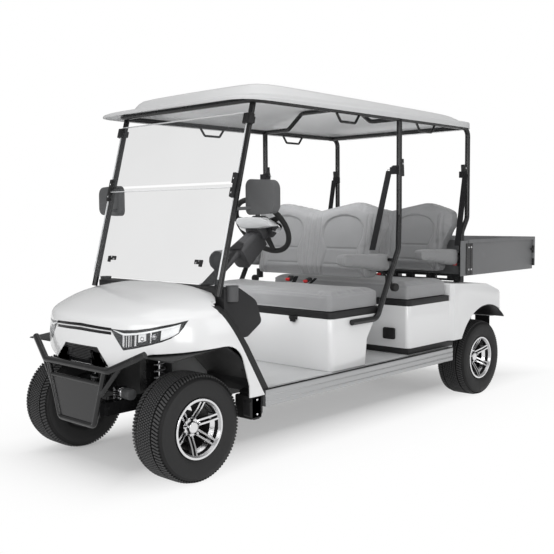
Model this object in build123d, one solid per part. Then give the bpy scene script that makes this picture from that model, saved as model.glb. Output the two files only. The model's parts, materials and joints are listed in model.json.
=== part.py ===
from build123d import *
import math
import os

# Four-seat electric utility cart with a cargo box, at full size in millimetres.
# It faces -Y, its left side is +X and +Z is up.
# Lengths along Y are measured from the middle of the wheelbase; OVERALL_MIDDLE
# then moves every piece, so that the finished cart stands centred on its origin.
# Heights are given for the axle line at AXLE_Z; RIDE_LIFT sets it for the tyres.

os.makedirs("parts", exist_ok=True)

# ---------------------------------------------------------------- driving sizes
WHEELBASE = 2493
TYRE_RADIUS = 250
TYRE_WIDTH = 205
WHEEL_X = 450                 # centre plane of every wheel
RIM_RADIUS = 127              # bead seat of a ten-inch rim
RIM_FLANGE = 139.5
RIM_WIDTH = 190
SPOKE_PAIRS = 6
SPOKE_START = {"front": 18.5, "rear": 30}   # angle of the first pair above +Y, degrees
BODY_HALF_WIDTH = 600
FRONT_OVERHANG = 305.5        # from the front axle to the bumper guard's face
REAR_OVERHANG = 713.5         # from the rear axle to the tailgate's face
DECK_TOP = 381
DECK_THICKNESS = 20
RAIL_HEIGHT = 60
RAIL_WIDTH = 50
RAIL_X = 260
FRONT_RAIL_X = 172
PANEL = 8                     # wall of every moulded body panel
TUBE_R = 16                   # roof posts and seat tubes
FRONT_BASE_Y = -345
SEAT_PITCH = 745              # from the front backrest to the rear one
BAND_BOTTOM = 660
BAND_HEIGHT = 35
CUSHION_HEIGHT = 92
ROOF_FRAME_Z = 1756
ROOF_REAR = 1098
BED_FRONT = 1040
BED_BOTTOM = 812
BED_TOP = 1042
BED_WALL = 24
TAILGATE_THICKNESS = 24
KINGPIN_X = 335
STEER_ARM = 110
STEERING_WHEEL_R = 166        # to the middle of the rim tube
STEERING_TILT = 36            # rise of the column above level, degrees

# ---------------------------------------------------------------- clearances
FIT = 0.3                     # between pieces that seat on each other
RUNNING = 0.05                # shaft in a bore, on the radius
SOFT = 0.4                    # between a soft piece and what holds it
ARCH_ROOM = 110               # round a rear tyre, on the radius

# ---------------------------------------------------------------- worked out
AXLE_Z = 250                  # height of the axle line in these tables
FRONT_Y = -WHEELBASE / 2
REAR_Y = WHEELBASE / 2
AXLE_Y = {"front": FRONT_Y, "rear": REAR_Y}
FRONT_TYRE_BACK = FRONT_Y + TYRE_RADIUS
FRONT_END = FRONT_Y - FRONT_OVERHANG
REAR_END = REAR_Y + REAR_OVERHANG
OVERALL_MIDDLE = (FRONT_END + REAR_END) / 2
RIDE_LIFT = TYRE_RADIUS - AXLE_Z            # stands the tyres on the ground
RAIL_TOP = DECK_TOP - DECK_THICKNESS
RAIL_BOTTOM = RAIL_TOP - RAIL_HEIGHT
TRAY_TOP = BAND_BOTTOM + BAND_HEIGHT
SEAT_HALF_WIDTH = BODY_HALF_WIDTH - 36.5
POST_X = SEAT_HALF_WIDTH - 27.5
ROOF_HALF_WIDTH = BODY_HALF_WIDTH
BED_HALF_WIDTH = BODY_HALF_WIDTH - 30
FENDER_HALF_WIDTH = BODY_HALF_WIDTH - 12
REAR_BASE_Y = FRONT_BASE_Y + SEAT_PITCH - 30


# ---------------------------------------------------------------- helpers
def block(x0, x1, y0, y1, z0, z1):
    """A box between two corners."""
    centre = Pos((x0 + x1) / 2, (y0 + y1) / 2, (z0 + z1) / 2)
    return centre * Box(x1 - x0, y1 - y0, z1 - z0)


def outline(rows):
    """A face from rows of u, v and corner radius."""
    face = make_face(Polyline(*[(u, v) for u, v, r in rows], close=True))
    for u, v, r in rows:
        if r:
            corner = face.vertices().sort_by_distance((u, v, 0))[0]
            face = fillet(corner, r)
    return face


def side_prism(rows, x0, x1):
    """A side outline in Y and Z, extruded across the cart."""
    plane = Plane(origin=(x0, 0, 0), x_dir=(0, 1, 0), z_dir=(1, 0, 0))
    return extrude(plane * outline(rows), amount=x1 - x0)


def front_prism(rows, y0, y1):
    """A front outline in X and Z, extruded along the cart."""
    plane = Plane(origin=(0, y1, 0), x_dir=(1, 0, 0), z_dir=(0, -1, 0))
    return extrude(plane * outline(rows), amount=y1 - y0)


def plan_prism(rows, z0, z1):
    """A plan outline in X and Y, extruded upwards."""
    return extrude(Plane.XY.offset(z0) * outline(rows), amount=z1 - z0)


def mirrored_rows(rows):
    """Rows for one half, from the middle out, closed with the other half."""
    return rows + [(-u, v, r) for u, v, r in reversed(rows) if u]


def rod(start, end, radius):
    """A round bar between two points."""
    line = Line(start, end)
    return sweep(Plane(origin=start, z_dir=line % 0) * Circle(radius), path=line)


def bent_tube(points, bend, radius):
    """A round bar through points, with tangent bends."""
    path = FilletPolyline(*points, radius=bend)
    return sweep(Plane(origin=path @ 0, z_dir=path % 0) * Circle(radius), path=path)


def both_sides(piece):
    """The piece and its mirror image on the other side of the cart."""
    return [piece, mirror(piece, about=Plane.YZ)]


def solids_of(pieces):
    """All the solids in a nested list of shapes."""
    if isinstance(pieces, (list, tuple)):
        return [s for p in pieces for s in solids_of(p)]
    return list(pieces.solids())


def write(node, pieces):
    """Centres the piece on the cart's origin and writes it as a STEP file."""
    placed = [Pos(0, -OVERALL_MIDDLE, RIDE_LIFT) * s for s in solids_of(pieces)]
    shape = placed[0] if len(placed) == 1 else Compound(children=placed)
    shape.label = node
    export_step(shape, f"parts/{node}.step")


def fuse(pieces):
    """One solid from pieces that share faces or overlap."""
    flat = solids_of(pieces)
    return flat[0].fuse(*flat[1:]).clean()


# ---------------------------------------------------------------- chassis
SILL_INNER = BODY_HALF_WIDTH - 40
SILL_FRONT = FRONT_TYRE_BACK + 119.5
SILL_REAR = 803
SILL_BOTTOM = 296
DECK_FRONT = FRONT_TYRE_BACK + 151.5
NOSE = FRONT_Y - 263.5        # foremost point of the cowl
MAIN_RAIL_FRONT = FRONT_TYRE_BACK + 66.5
RAIL_REAR = REAR_Y + 333.5
FRONT_RAIL_END = NOSE + 10
MEMBER_DEPTH = 50
CROSS_MEMBERS = (MAIN_RAIL_FRONT, -325, 225, SILL_REAR + 52, RAIL_REAR - MEMBER_DEPTH)
OUTRIGGERS = (DECK_FRONT + 145, 0, 620)
TOWER_TOP = 590
BED_POST_Y = (BED_FRONT + 50, REAR_Y + 183.5)
COIL_X = 262
HITCH_Y = RAIL_REAR + 60
HITCH_Z = 331
HITCH_HOLE_R = 10.5


def frame_rails():
    """Two main rails under the deck, and two closer together that carry the nose."""
    half = RAIL_WIDTH / 2
    rails = []
    for middle, y0, y1 in ((RAIL_X, MAIN_RAIL_FRONT, RAIL_REAR),
                           (FRONT_RAIL_X, FRONT_RAIL_END, MAIN_RAIL_FRONT - FIT)):
        rails.append(block(middle - half, middle + half, y0, y1, RAIL_BOTTOM, RAIL_TOP))
    return [both_sides(rail) for rail in rails]


def cross_members():
    """Members between the rails, and outriggers from the rails to the sills."""
    reach = RAIL_X - RAIL_WIDTH / 2 - FIT
    members = [block(-reach, reach, y, y + MEMBER_DEPTH, RAIL_BOTTOM, RAIL_TOP)
               for y in CROSS_MEMBERS]
    nose_reach = FRONT_RAIL_X - RAIL_WIDTH / 2 - FIT
    members.append(block(-nose_reach, nose_reach, FRONT_RAIL_END, FRONT_RAIL_END + 40,
                         RAIL_BOTTOM, RAIL_TOP))
    for y in OUTRIGGERS:
        members += both_sides(block(RAIL_X + RAIL_WIDTH / 2 + FIT, SILL_INNER - FIT,
                                    y - 20, y + 20, RAIL_TOP - 40, RAIL_TOP))
    return members


def hitch_plate():
    """The plate behind the last cross member, bored for a drawbar pin."""
    plate = plan_prism([(-60, RAIL_REAR + FIT, 0), (60, RAIL_REAR + FIT, 0),
                        (38, HITCH_Y + 35, 20), (-38, HITCH_Y + 35, 20)],
                       HITCH_Z - 6, HITCH_Z + 6)
    return plate - Pos(0, HITCH_Y, HITCH_Z) * Cylinder(HITCH_HOLE_R, 40)


def shock_tower():
    """Two uprights on the nose rails, and the cross bar that holds the coil-overs' tops."""
    half = RAIL_WIDTH / 2
    bar = block(-COIL_X - 32, COIL_X + 32, FRONT_Y - 30, FRONT_Y + 30, TOWER_TOP - 25, TOWER_TOP)
    upright = block(FRONT_RAIL_X - half, FRONT_RAIL_X + half, FRONT_Y - 30, FRONT_Y + 30,
                    RAIL_TOP + FIT, TOWER_TOP - 25 - FIT)
    return [bar] + both_sides(upright)


def bed_posts():
    """Four posts that carry the cargo box on the main rails."""
    half = RAIL_WIDTH / 2
    return [both_sides(block(RAIL_X - half, RAIL_X + half, y - 25, y + 25,
                             RAIL_TOP + FIT, BED_BOTTOM - FIT)) for y in BED_POST_Y]


TOE_LEAN = 0.6                # rearward lean of the toe board and the door edge


def lean_y(z, at_deck):
    """Y of a line that leans forward as it rises, through at_deck at deck height."""
    return at_deck - TOE_LEAN * (z - DECK_TOP)


TOE_TOP = 620
TRIM_INNER = BODY_HALF_WIDTH - 80


def floor_deck():
    half = SILL_INNER - FIT
    deck = block(-half, half, DECK_FRONT - 14, SILL_REAR + 60, RAIL_TOP + FIT, DECK_TOP)
    toe = side_prism([(lean_y(DECK_TOP, DECK_FRONT), DECK_TOP, 0),
                      (lean_y(TOE_TOP, DECK_FRONT), TOE_TOP, 0),
                      (lean_y(TOE_TOP, DECK_FRONT) - 14, TOE_TOP, 0),
                      (lean_y(DECK_TOP, DECK_FRONT) - 14, DECK_TOP, 0)],
                     FIT - TRIM_INNER, TRIM_INNER - FIT)
    return fuse([deck, toe])


SILL_GROOVES = ((318, 326), (346, 354))


def side_sills():
    """Aluminium sections along the deck's edges, with two shallow grooves each."""
    face = BODY_HALF_WIDTH
    rows = [(SILL_INNER, SILL_BOTTOM, 0), (face - 4, SILL_BOTTOM, 3), (face, SILL_BOTTOM + 6, 0)]
    for low, high in SILL_GROOVES:
        rows += [(face, low, 0), (face - 2, low + 2, 0), (face - 2, high - 2, 0), (face, high, 0)]
    rows += [(face, DECK_TOP - 6, 0), (face - 4, DECK_TOP - 2, 0), (SILL_INNER, DECK_TOP - 2, 0)]
    return both_sides(front_prism(rows, SILL_FRONT, SILL_REAR))


# ---------------------------------------------------------------- front cowl
HOOD_REAR = FRONT_TYRE_BACK - 53.5
HOOD_REAR_Z = 888
COWL_FOOT_Z = 357
COWL_FOOT_Y = FRONT_TYRE_BACK + 112.5
DOOR_TOP_Z = 634


def cowl_side_rows(inset):
    lean = inset * 0.3
    return [(NOSE + 40 + inset, 470, 0), (NOSE + 2 + inset, 600, 0), (NOSE + 2 + inset, 690, 30),
            (NOSE + 32 + inset, 752 - inset, 20), (NOSE + 190, 818 - inset, 300),
            (HOOD_REAR, HOOD_REAR_Z - inset, 0), (HOOD_REAR, DOOR_TOP_Z, 0),
            (COWL_FOOT_Y, COWL_FOOT_Z, 0), (NOSE + 410 + lean, COWL_FOOT_Z, 0)]


def cowl_front_rows(inset):
    side = BODY_HALF_WIDTH - inset
    return mirrored_rows([(0, 889 - inset, 0), (side - 300, 868 - inset, 60),
                          (side - 110, 826 - inset, 60), (side - 38, 772 - inset, 15),
                          (side - 10, 690, 40), (side, 600, 0), (side, 300, 0)])


def cowl_plan_rows(inset):
    side = BODY_HALF_WIDTH
    return mirrored_rows([(0, NOSE + inset, 0), (side - 370 - inset * 0.3, NOSE + 18 + inset, 120),
                          (side - 160 - inset * 0.6, NOSE + 105 + inset * 0.8, 120),
                          (side - 40 - inset * 0.9, NOSE + 255 + inset * 0.3, 120),
                          (side - inset, HOOD_REAR - 10, 100), (side - inset, HOOD_REAR + 250, 0)])


def cowl_block(inset):
    """The cowl's outer form, drawn in by inset on its top, front and sides."""
    side = side_prism(cowl_side_rows(inset), -700, 700)
    front = front_prism(cowl_front_rows(inset), NOSE - 190, HOOD_REAR + 350)
    plan = plan_prism(cowl_plan_rows(inset), 200, 1000)
    return side & front & plan


ARCH_ROWS = [(NOSE + 70, 100, 0), (NOSE + 70, 596, 0), (FRONT_TYRE_BACK - 51.5, 624, 110),
             (FRONT_TYRE_BACK + 12.5, 412, 0), (FRONT_TYRE_BACK + 12.5, 100, 0)]
LAMP_INNER = BODY_HALF_WIDTH - 394
CHIN_ROWS = mirrored_rows([(0, 523, 0), (LAMP_INNER, 523, 0), (LAMP_INNER + 246, 600, 0),
                           (700, 600, 0), (700, 200, 0), (0, 200, 0)])
HEADLIGHT_ROWS = [(LAMP_INNER + 6, 687, 0), (LAMP_INNER + 70, 614, 0), (LAMP_INNER + 264, 664, 25),
                  (LAMP_INNER + 354, 752, 0), (LAMP_INNER + 154, 702, 0)]
LIGHT_BAR_ROWS = mirrored_rows([(0, 676, 0), (0, 712, 0), (LAMP_INNER, 706, 0),
                                (LAMP_INNER, 671, 0)])
GRILLE_ROWS = mirrored_rows([(0, 612, 0), (LAMP_INNER - 75, 612, 0), (LAMP_INNER, 528, 0)])
NOSE_SPAN = (NOSE - 190, NOSE + 360)        # reach in Y of the cuts through the nose


def cowl_piece(rows, proud, depth):
    """A lamp or panel let into the cowl's nose, following its surface."""
    skin = cowl_block(-proud) - cowl_block(depth)
    return skin & front_prism(rows, *NOSE_SPAN)


def front_cowl():
    shell = cowl_block(0) - cowl_block(PANEL)
    side = BODY_HALF_WIDTH - PANEL
    lamp = front_prism(HEADLIGHT_ROWS, *NOSE_SPAN)
    door = side_prism([(door_edge(300), 300, 0), (door_edge(900), 900, 0),
                       (DECK_FRONT + 145, 900, 0), (DECK_FRONT + 145, 300, 0)], TRIM_INNER, 700)
    cuts = [block(-side, side, HOOD_REAR - 50, HOOD_REAR + 350, 100, DOOR_TOP_Z),
            block(-700, 700, NOSE + 40, HOOD_REAR + 170, 100, COWL_FOOT_Z),
            side_prism(ARCH_ROWS, -700, 700),
            front_prism(CHIN_ROWS, NOSE - 190, NOSE + 70),
            front_prism(LIGHT_BAR_ROWS, *NOSE_SPAN),
            front_prism(GRILLE_ROWS, *NOSE_SPAN)]
    for cut in cuts + both_sides(lamp) + both_sides(door):
        shell = shell - cut
    return shell

TRIM_WIDTH = 46


def door_edge(z):
    """Y of the cowl's rear edge beside the door opening."""
    run = (COWL_FOOT_Y - HOOD_REAR) / (DOOR_TOP_Z - COWL_FOOT_Z)
    return COWL_FOOT_Y - (z - COWL_FOOT_Z) * run


def body_trims():
    """Black strips down the cowl's door edges, and strips round the foot of the rear seat box."""
    strip = side_prism([(door_edge(DECK_TOP) + FIT, DECK_TOP, 0), (door_edge(900) + FIT, 900, 0),
                        (door_edge(900) + TRIM_WIDTH, 900, 0),
                        (door_edge(DECK_TOP) + TRIM_WIDTH, DECK_TOP, 0)],
                       TRIM_INNER + FIT, BODY_HALF_WIDTH)
    strip = strip & front_prism(cowl_front_rows(3), NOSE, HOOD_REAR + 350)
    edge = SEAT_HALF_WIDTH
    across = block(-edge, edge, REAR_BASE_Y, REAR_BASE_Y + PANEL, DECK_TOP + FIT, REAR_STRIP_TOP)
    along = block(edge - PANEL, edge, REAR_BASE_Y + PANEL + FIT, SILL_REAR + 60,
                  DECK_TOP + FIT, REAR_STRIP_TOP)
    return both_sides(strip) + [across] + both_sides(along)


DASH_FOOT = 622
DASH_ROWS = [(HOOD_REAR + FIT, 624, 0), (HOOD_REAR + FIT, 866, 0), (HOOD_REAR + 100, 868, 30),
             (HOOD_REAR + 214, 800, 60), (HOOD_REAR + 253, 690, 25), (HOOD_REAR + 155, 628, 10),
             (HOOD_REAR + 80, DASH_FOOT, 0)]
DASH_HALF_WIDTH = BODY_HALF_WIDTH - 100
CUP_R = 38
SHELF_ROWS = [(HOOD_REAR + 120, 735, 20), (HOOD_REAR + 120, 820, 20), (HOOD_REAR + 300, 800, 0),
              (HOOD_REAR + 300, 715, 0)]


def dashboard():
    """A rounded dash with an open shelf each side of the middle and two cup holders."""
    dash = side_prism(DASH_ROWS, -DASH_HALF_WIDTH, DASH_HALF_WIDTH)
    for x0, x1 in ((-360, -60), (60, 190)):
        dash = dash - side_prism(SHELF_ROWS, x0, x1)
    for side in (-1, 1):
        dash = dash - Pos(side * (DASH_HALF_WIDTH - 58), HOOD_REAR + 135, 830) * Cylinder(CUP_R, 120)
    return dash


def instrument_pod():
    """The display's housing, standing on the dash beside the steering column."""
    rows = [(HOOD_REAR + 66, 868 + FIT, 0), (HOOD_REAR + 72, 950, 0), (HOOD_REAR + 58, 1034, 14),
            (HOOD_REAR + 112, 1042, 20), (HOOD_REAR + 130, 962, 16), (HOOD_REAR + 96, 868 + FIT, 0)]
    return side_prism(rows, 308, 394)


def pedals():
    """Brake and drive pedals, each on an arm that comes down from under the dash."""
    pair = []
    for x, width in ((235, 62), (345, 46)):
        arm = rod((x, HOOD_REAR + 78, 640), (x, HOOD_REAR + 205, 500), 7)
        arm = arm & block(0, 600, HOOD_REAR, HOOD_REAR + 300, 300, DASH_FOOT - FIT)
        pad = side_prism([(HOOD_REAR + 180, 530, 6), (HOOD_REAR + 192, 535, 6),
                          (HOOD_REAR + 236, 455, 6), (HOOD_REAR + 224, 450, 6)],
                         x - width / 2, x + width / 2)
        pair.append(fuse([arm, pad]))
    return pair


def front_wheel_liners():
    """The sheet behind each front wheel, and the mud guard at its foot."""
    line = [(NOSE + 72, 580), (FRONT_TYRE_BACK - 123.5, 612), (FRONT_TYRE_BACK - 43.5, 560),
            (FRONT_TYRE_BACK + 91.5, 425), (FRONT_TYRE_BACK + 91.5, RAIL_TOP + FIT)]
    rows = [(y, z, 0) for y, z in line]
    rows += [(y + 5, z + 5, 0) for y, z in reversed(line)]
    sheet = side_prism(rows, LAMP_INNER + 6, BODY_HALF_WIDTH - PANEL - 14)
    behind_door = [(door_edge(300) - 3, 300, 0), (door_edge(600) - 3, 600, 0),
                   (DECK_FRONT + 145, 600, 0), (DECK_FRONT + 145, 300, 0)]
    sheet = sheet - side_prism(behind_door, TRIM_INNER - 1, 700)
    front = FRONT_TYRE_BACK + 34.5
    rear = SILL_FRONT - FIT
    guard = side_prism([(front, 262, 10), (front, 325, 12), (front + 26, COWL_FOOT_Z - FIT, 8),
                        (rear - 20, COWL_FOOT_Z - FIT, 6), (rear, 335, 4), (rear, 268, 8),
                        (rear - 24, 240, 8), (front + 24, 240, 10)],
                       BODY_HALF_WIDTH - 70, BODY_HALF_WIDTH - 22)
    guard = guard - block(0, BODY_HALF_WIDTH - 25, front + 52, rear + 100, 290, 500)
    return both_sides(sheet) + both_sides(guard)


def rear_wheel_liners():
    """The curved sheet inside each rear wheel arch."""
    ring = Pos(0, REAR_Y, AXLE_Z) * Rot(0, 90, 0) * (
        Cylinder(REAR_ARCH_R - 1, 2000) - Cylinder(REAR_ARCH_R - 6, 2000))
    return both_sides(ring & block(330, FENDER_HALF_WIDTH - PANEL - FIT,
                                   REAR_Y - REAR_ARCH_R - 16.5, REAR_BODY_END - PANEL - 8, 420, 900))


# ---------------------------------------------------------------- bumper guard
GUARD_Y = FRONT_END + TUBE_R
GUARD_TOP = 519
GUARD_END_X = BODY_HALF_WIDTH - 153


def bumper_guard():
    """A bent tube across the nose over a bent frame, with stays, a plate and two brackets."""
    bars = [bent_tube([(-GUARD_END_X, NOSE + 36, 606), (-256, GUARD_Y, GUARD_TOP),
                       (256, GUARD_Y, GUARD_TOP), (GUARD_END_X, NOSE + 36, 606)], 45, TUBE_R)]
    bars.append(bent_tube([(-232, GUARD_Y, GUARD_TOP), (-140, GUARD_Y, 252), (140, GUARD_Y, 252),
                           (232, GUARD_Y, GUARD_TOP)], 25, 13))
    bars.append(rod((-208, GUARD_Y, 452), (208, GUARD_Y, 452), 11))
    for side in (-1, 1):
        bars.append(rod((side * 195, GUARD_Y, 400), (side * 330, NOSE - 2, 552), 11))
        x0, x1 = sorted((side * (FRONT_RAIL_X - 14), side * (FRONT_RAIL_X + 14)))
        bars.append(block(x0, x1, GUARD_Y, FRONT_RAIL_END - FIT, RAIL_BOTTOM + 2, RAIL_TOP - 2))
    bars.append(front_prism([(-202, 445, 0), (202, 445, 0), (142, 258, 0), (-142, 258, 0)],
                            GUARD_Y - 3, GUARD_Y + 3))
    return fuse(bars)


def steering_gear():
    """The power steering's casing on the left nose rail, with its motor beside it."""
    y = FRONT_Y - 153
    casing = side_prism([(y - 30, RAIL_TOP + FIT, 0), (y + 30, RAIL_TOP + FIT, 0),
                         (y + 30, 398, 8), (y + 14, 408, 4), (y - 24, 408, 8)],
                        FRONT_RAIL_X - 27, FRONT_RAIL_X + 20)
    motor = Pos(FRONT_RAIL_X + 48, y, 391) * Rot(0, 90, 0) * Cylinder(27, 64)
    return fuse([casing, motor])


# ---------------------------------------------------------------- seats
REAR_STRIP_TOP = 417
REAR_BAND_BOTTOM = 668
REAR_TRAY_END = 812
BASE_CORNER = 32


def front_seat_base():
    def form(inset):
        side = side_prism([(FRONT_BASE_Y + inset, DECK_TOP, 0),
                           (FRONT_BASE_Y + inset, BAND_BOTTOM, 0), (72 - inset, BAND_BOTTOM, 0),
                           (42 - inset, 632, 30), (-32 - inset, 528, 40),
                           (-50 - inset, DECK_TOP, 0)],
                          -SEAT_HALF_WIDTH + inset, SEAT_HALF_WIDTH - inset)
        plan = plan_prism(mirrored_rows([(0, FRONT_BASE_Y + inset, 0),
                                         (SEAT_HALF_WIDTH - inset, FRONT_BASE_Y + inset,
                                          BASE_CORNER - inset),
                                         (SEAT_HALF_WIDTH - inset, 200, 0), (0, 200, 0)]),
                          0, 900)
        return side & plan
    return Pos(0, 0, FIT) * (form(0) - form(PANEL)) & block(-700, 700, -900, 900, 0, BAND_BOTTOM - FIT)


def seat_trays():
    plates = []
    for y0, y1, z in ((FRONT_BASE_Y, 100, BAND_BOTTOM), (REAR_BASE_Y, REAR_TRAY_END, REAR_BAND_BOTTOM)):
        plate = plan_prism([(-SEAT_HALF_WIDTH, y0, BASE_CORNER), (SEAT_HALF_WIDTH, y0, BASE_CORNER),
                            (SEAT_HALF_WIDTH, y1, 0), (-SEAT_HALF_WIDTH, y1, 0)],
                           z, z + BAND_HEIGHT)
        plates.append(plate)
    return plates


CUSHION_INSET = 6


def seat_cushions():
    pads = []
    for y0, y1, z in ((FRONT_BASE_Y, 96, BAND_BOTTOM), (REAR_BASE_Y, REAR_TRAY_END - 4, REAR_BAND_BOTTOM)):
        half = SEAT_HALF_WIDTH - CUSHION_INSET
        pad = plan_prism([(-half, y0 + CUSHION_INSET, BASE_CORNER),
                          (half, y0 + CUSHION_INSET, BASE_CORNER),
                          (half, y1, 20), (-half, y1, 20)],
                         z + BAND_HEIGHT + SOFT, z + BAND_HEIGHT + SOFT + CUSHION_HEIGHT)
        pads.append(pad)
    return pads


BACK_THICKNESS = 80
BACK_BOTTOM = 826
BACK_SIDE_ROWS = [(128, BACK_BOTTOM, 20), (216, 1298, 30), (216 + BACK_THICKNESS, 1298, 30),
                  (128 + BACK_THICKNESS, BACK_BOTTOM, 20)]
BACK_HALF = SEAT_HALF_WIDTH - 45.5
BACK_FRONT_ROWS = mirrored_rows([(0, BACK_BOTTOM, 0), (BACK_HALF - 63, BACK_BOTTOM, 40),
                                 (BACK_HALF - 58, 1010, 60), (BACK_HALF, 1140, 60),
                                 (BACK_HALF - 13, 1236, 60), (BACK_HALF * 0.58, 1302, 120),
                                 (0, 1246, 150)])


def backrests():
    back = side_prism(BACK_SIDE_ROWS, -600, 600) & front_prism(BACK_FRONT_ROWS, 0, 500)
    return [back, Pos(0, SEAT_PITCH, 0) * back]


ARM_INNER = SEAT_HALF_WIDTH - 97.5
ARM_OUTER = SEAT_HALF_WIDTH - 31.5
ARM_REAR = 232


def armrests():
    """Padded arms beside both backrests, deeper at the rear."""
    rows = [(-190, 932, 22), (-190, 996, 25), (ARM_REAR, 984, 22), (ARM_REAR, 882, 30),
            (130, 890, 60)]
    arm = side_prism(rows, ARM_INNER, ARM_OUTER)
    return [both_sides(Pos(0, seat * SEAT_PITCH, 0) * arm - seat_bar(seat, SOFT))
            for seat in (0, 1)]


# ---------------------------------------------------------------- rear body
FENDER_FRONT = REAR_TRAY_END + 3
REAR_BODY_END = REAR_Y + TYRE_RADIUS + 9.5
REAR_ARCH_R = TYRE_RADIUS + ARCH_ROOM


def rear_block(inset):
    seat = REAR_BAND_BOTTOM - FIT - inset
    foot = REAR_STRIP_TOP + FIT - 30 * (inset > 0)
    rows = [(REAR_BASE_Y + inset, foot, 0), (REAR_BASE_Y + inset, seat, 0),
            (FENDER_FRONT + inset, seat, 0),
            (FENDER_FRONT + inset, 775 - inset, 12), (REAR_Y - 16.5, 752 - inset, 200),
            (REAR_BODY_END - 86 - inset, 690 - inset, 110), (REAR_BODY_END - inset, 540, 40),
            (REAR_BODY_END - inset, foot, 0)]
    side = side_prism(rows, -700, 700)
    base = SEAT_HALF_WIDTH - inset
    wide = FENDER_HALF_WIDTH - inset
    plan = plan_prism(mirrored_rows([(0, REAR_BASE_Y + inset, 0),
                                     (base, REAR_BASE_Y + inset, BASE_CORNER - inset),
                                     (base, FENDER_FRONT - 6, 0), (wide, FENDER_FRONT + 20, 0),
                                     (wide, REAR_BODY_END - inset, 120),
                                     (0, REAR_BODY_END - inset, 0)]), 0, 1000)
    return side & plan


def rear_body():
    shell = rear_block(0) - rear_block(PANEL)
    arch = Pos(0, REAR_Y, AXLE_Z) * Rot(0, 90, 0) * Cylinder(REAR_ARCH_R, 2000)
    keep = block(-320, 320, 0, 3000, 0, 3000)
    shell = shell - (arch - keep)
    for side in (-1, 1):
        for y in BED_POST_Y:
            x = side * RAIL_X
            shell = shell - block(x - 28, x + 28, y - 28, y + 28, 600, 900)
    return shell


def charging_socket():
    """The charging flap's housing on the front of the rear seat box."""
    right = SEAT_HALF_WIDTH - 177.5
    return front_prism([(right, 466, 10), (right + 84, 466, 10), (right + 84, 534, 10),
                        (right, 534, 10)], REAR_BASE_Y - 14, REAR_BASE_Y - FIT)


LENS_DEPTH = 12


def tail_lights():
    """Lenses that stand on the rear corners of the body."""
    right = FENDER_HALF_WIDTH - 203
    lens = front_prism([(right, 570, 12), (right + 80, 570, 12), (right + 80, 660, 12),
                        (right, 660, 12)], REAR_BODY_END - 80, REAR_BODY_END + 40)
    body = rear_block(0)
    lens = (lens & Pos(0, LENS_DEPTH, 0) * body) - Pos(0, FIT, 0) * body
    return both_sides(max(lens.solids(), key=lambda s: s.volume))


def mud_flaps():
    front = REAR_BODY_END + FIT
    right = max(FENDER_HALF_WIDTH - 238, RAIL_X + RAIL_WIDTH / 2 + 12)
    flap = front_prism([(right, 528, 0), (right + 110, 528, 0), (right + 110, 284, 18),
                        (right, 284, 18)], front, front + 6)
    return both_sides(flap)


# ---------------------------------------------------------------- roof
ROOF_FRONT = HOOD_REAR + 42
ROOF_BRIM = 1746              # underside of the brim
CROWN_FRONT = ROOF_FRONT + 185


def roof_block(inset):
    """A thin brim with a visor in front, and a raised crown whose sides slope in."""
    floor = ROOF_BRIM - 20 * (inset > 0)
    edge = ROOF_HALF_WIDTH - inset
    front, rear = ROOF_FRONT + inset, ROOF_REAR - inset
    brim = side_prism([(front, floor, 0), (front, 1764, 0), (CROWN_FRONT, 1812 - inset, 120),
                       (rear, 1790 - inset, 0), (rear, floor, 0)], -700, 700)
    brim = brim & front_prism(mirrored_rows([(0, 1815 - inset, 0), (edge - 110, 1808 - inset, 80),
                                             (edge, 1778 - inset / 2, 0), (edge, 1700, 0)]),
                              front - 100, rear + 100)
    brim = brim & plan_prism(mirrored_rows([(0, front - 30, 0), (edge - 180, front - 14, 200),
                                            (edge, front + 90, 60), (edge, rear, 50),
                                            (0, rear, 0)]), 1600, 2000)
    crown = side_prism([(CROWN_FRONT - 15 + inset, floor, 0), (CROWN_FRONT + 15 + inset, 1858 - inset, 40),
                        (CROWN_FRONT + 300, 1878 - inset, 400), (rear - 700, 1872 - inset, 600),
                        (rear - 45, 1826 - inset, 30), (rear - 12, floor, 0)], -700, 700)
    crown = crown & front_prism(mirrored_rows([(0, 1880 - inset, 0), (edge - 300, 1868 - inset, 150),
                                               (edge - 105, 1836 - inset, 50),
                                               (edge - 30, 1700, 0)]), front - 100, rear + 100)
    return brim + crown


def roof_panel():
    return roof_block(0) - roof_block(PANEL)


FRAME_R = 14
FRAME_FRONT = HOOD_REAR + 181
REAR_POST_Y = 1066
RAIL_SPLIT = REAR_POST_Y - 90
BRACE_Y = 308
BRACE_TOP = 1850.9


def roof_bow(grow):
    """The roof frame's front bow and its side rails, in one bent tube."""
    return bent_tube([(-POST_X, RAIL_SPLIT, ROOF_FRAME_Z), (-POST_X, FRAME_FRONT, ROOF_FRAME_Z),
                      (POST_X, FRAME_FRONT, ROOF_FRAME_Z), (POST_X, RAIL_SPLIT, ROOF_FRAME_Z)],
                     60, FRAME_R + grow)


def roof_frame():
    return roof_bow(0)


def brace_tube(grow):
    return bent_tube([(-POST_X, BRACE_Y, ROOF_FRAME_Z), (-330, BRACE_Y, ROOF_FRAME_Z),
                      (-210, BRACE_Y, BRACE_TOP), (210, BRACE_Y, BRACE_TOP),
                      (330, BRACE_Y, ROOF_FRAME_Z), (POST_X, BRACE_Y, ROOF_FRAME_Z)],
                     50, FRAME_R - 1 + grow)


def roof_braces():
    """The raised brace over the middle posts, and the bar between the rear posts."""
    rails = roof_bow(FIT)
    brace = brace_tube(0) - rails - mid_post(FIT) - mirror(mid_post(FIT), about=Plane.YZ)
    end = POST_X - TUBE_R - FIT
    rear = rod((-end, RAIL_SPLIT + 30, ROOF_FRAME_Z), (end, RAIL_SPLIT + 30, ROOF_FRAME_Z), FRAME_R)
    return [max(brace.solids(), key=lambda s: s.volume), rear]


GRIP_Y = (-165, 580)


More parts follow.
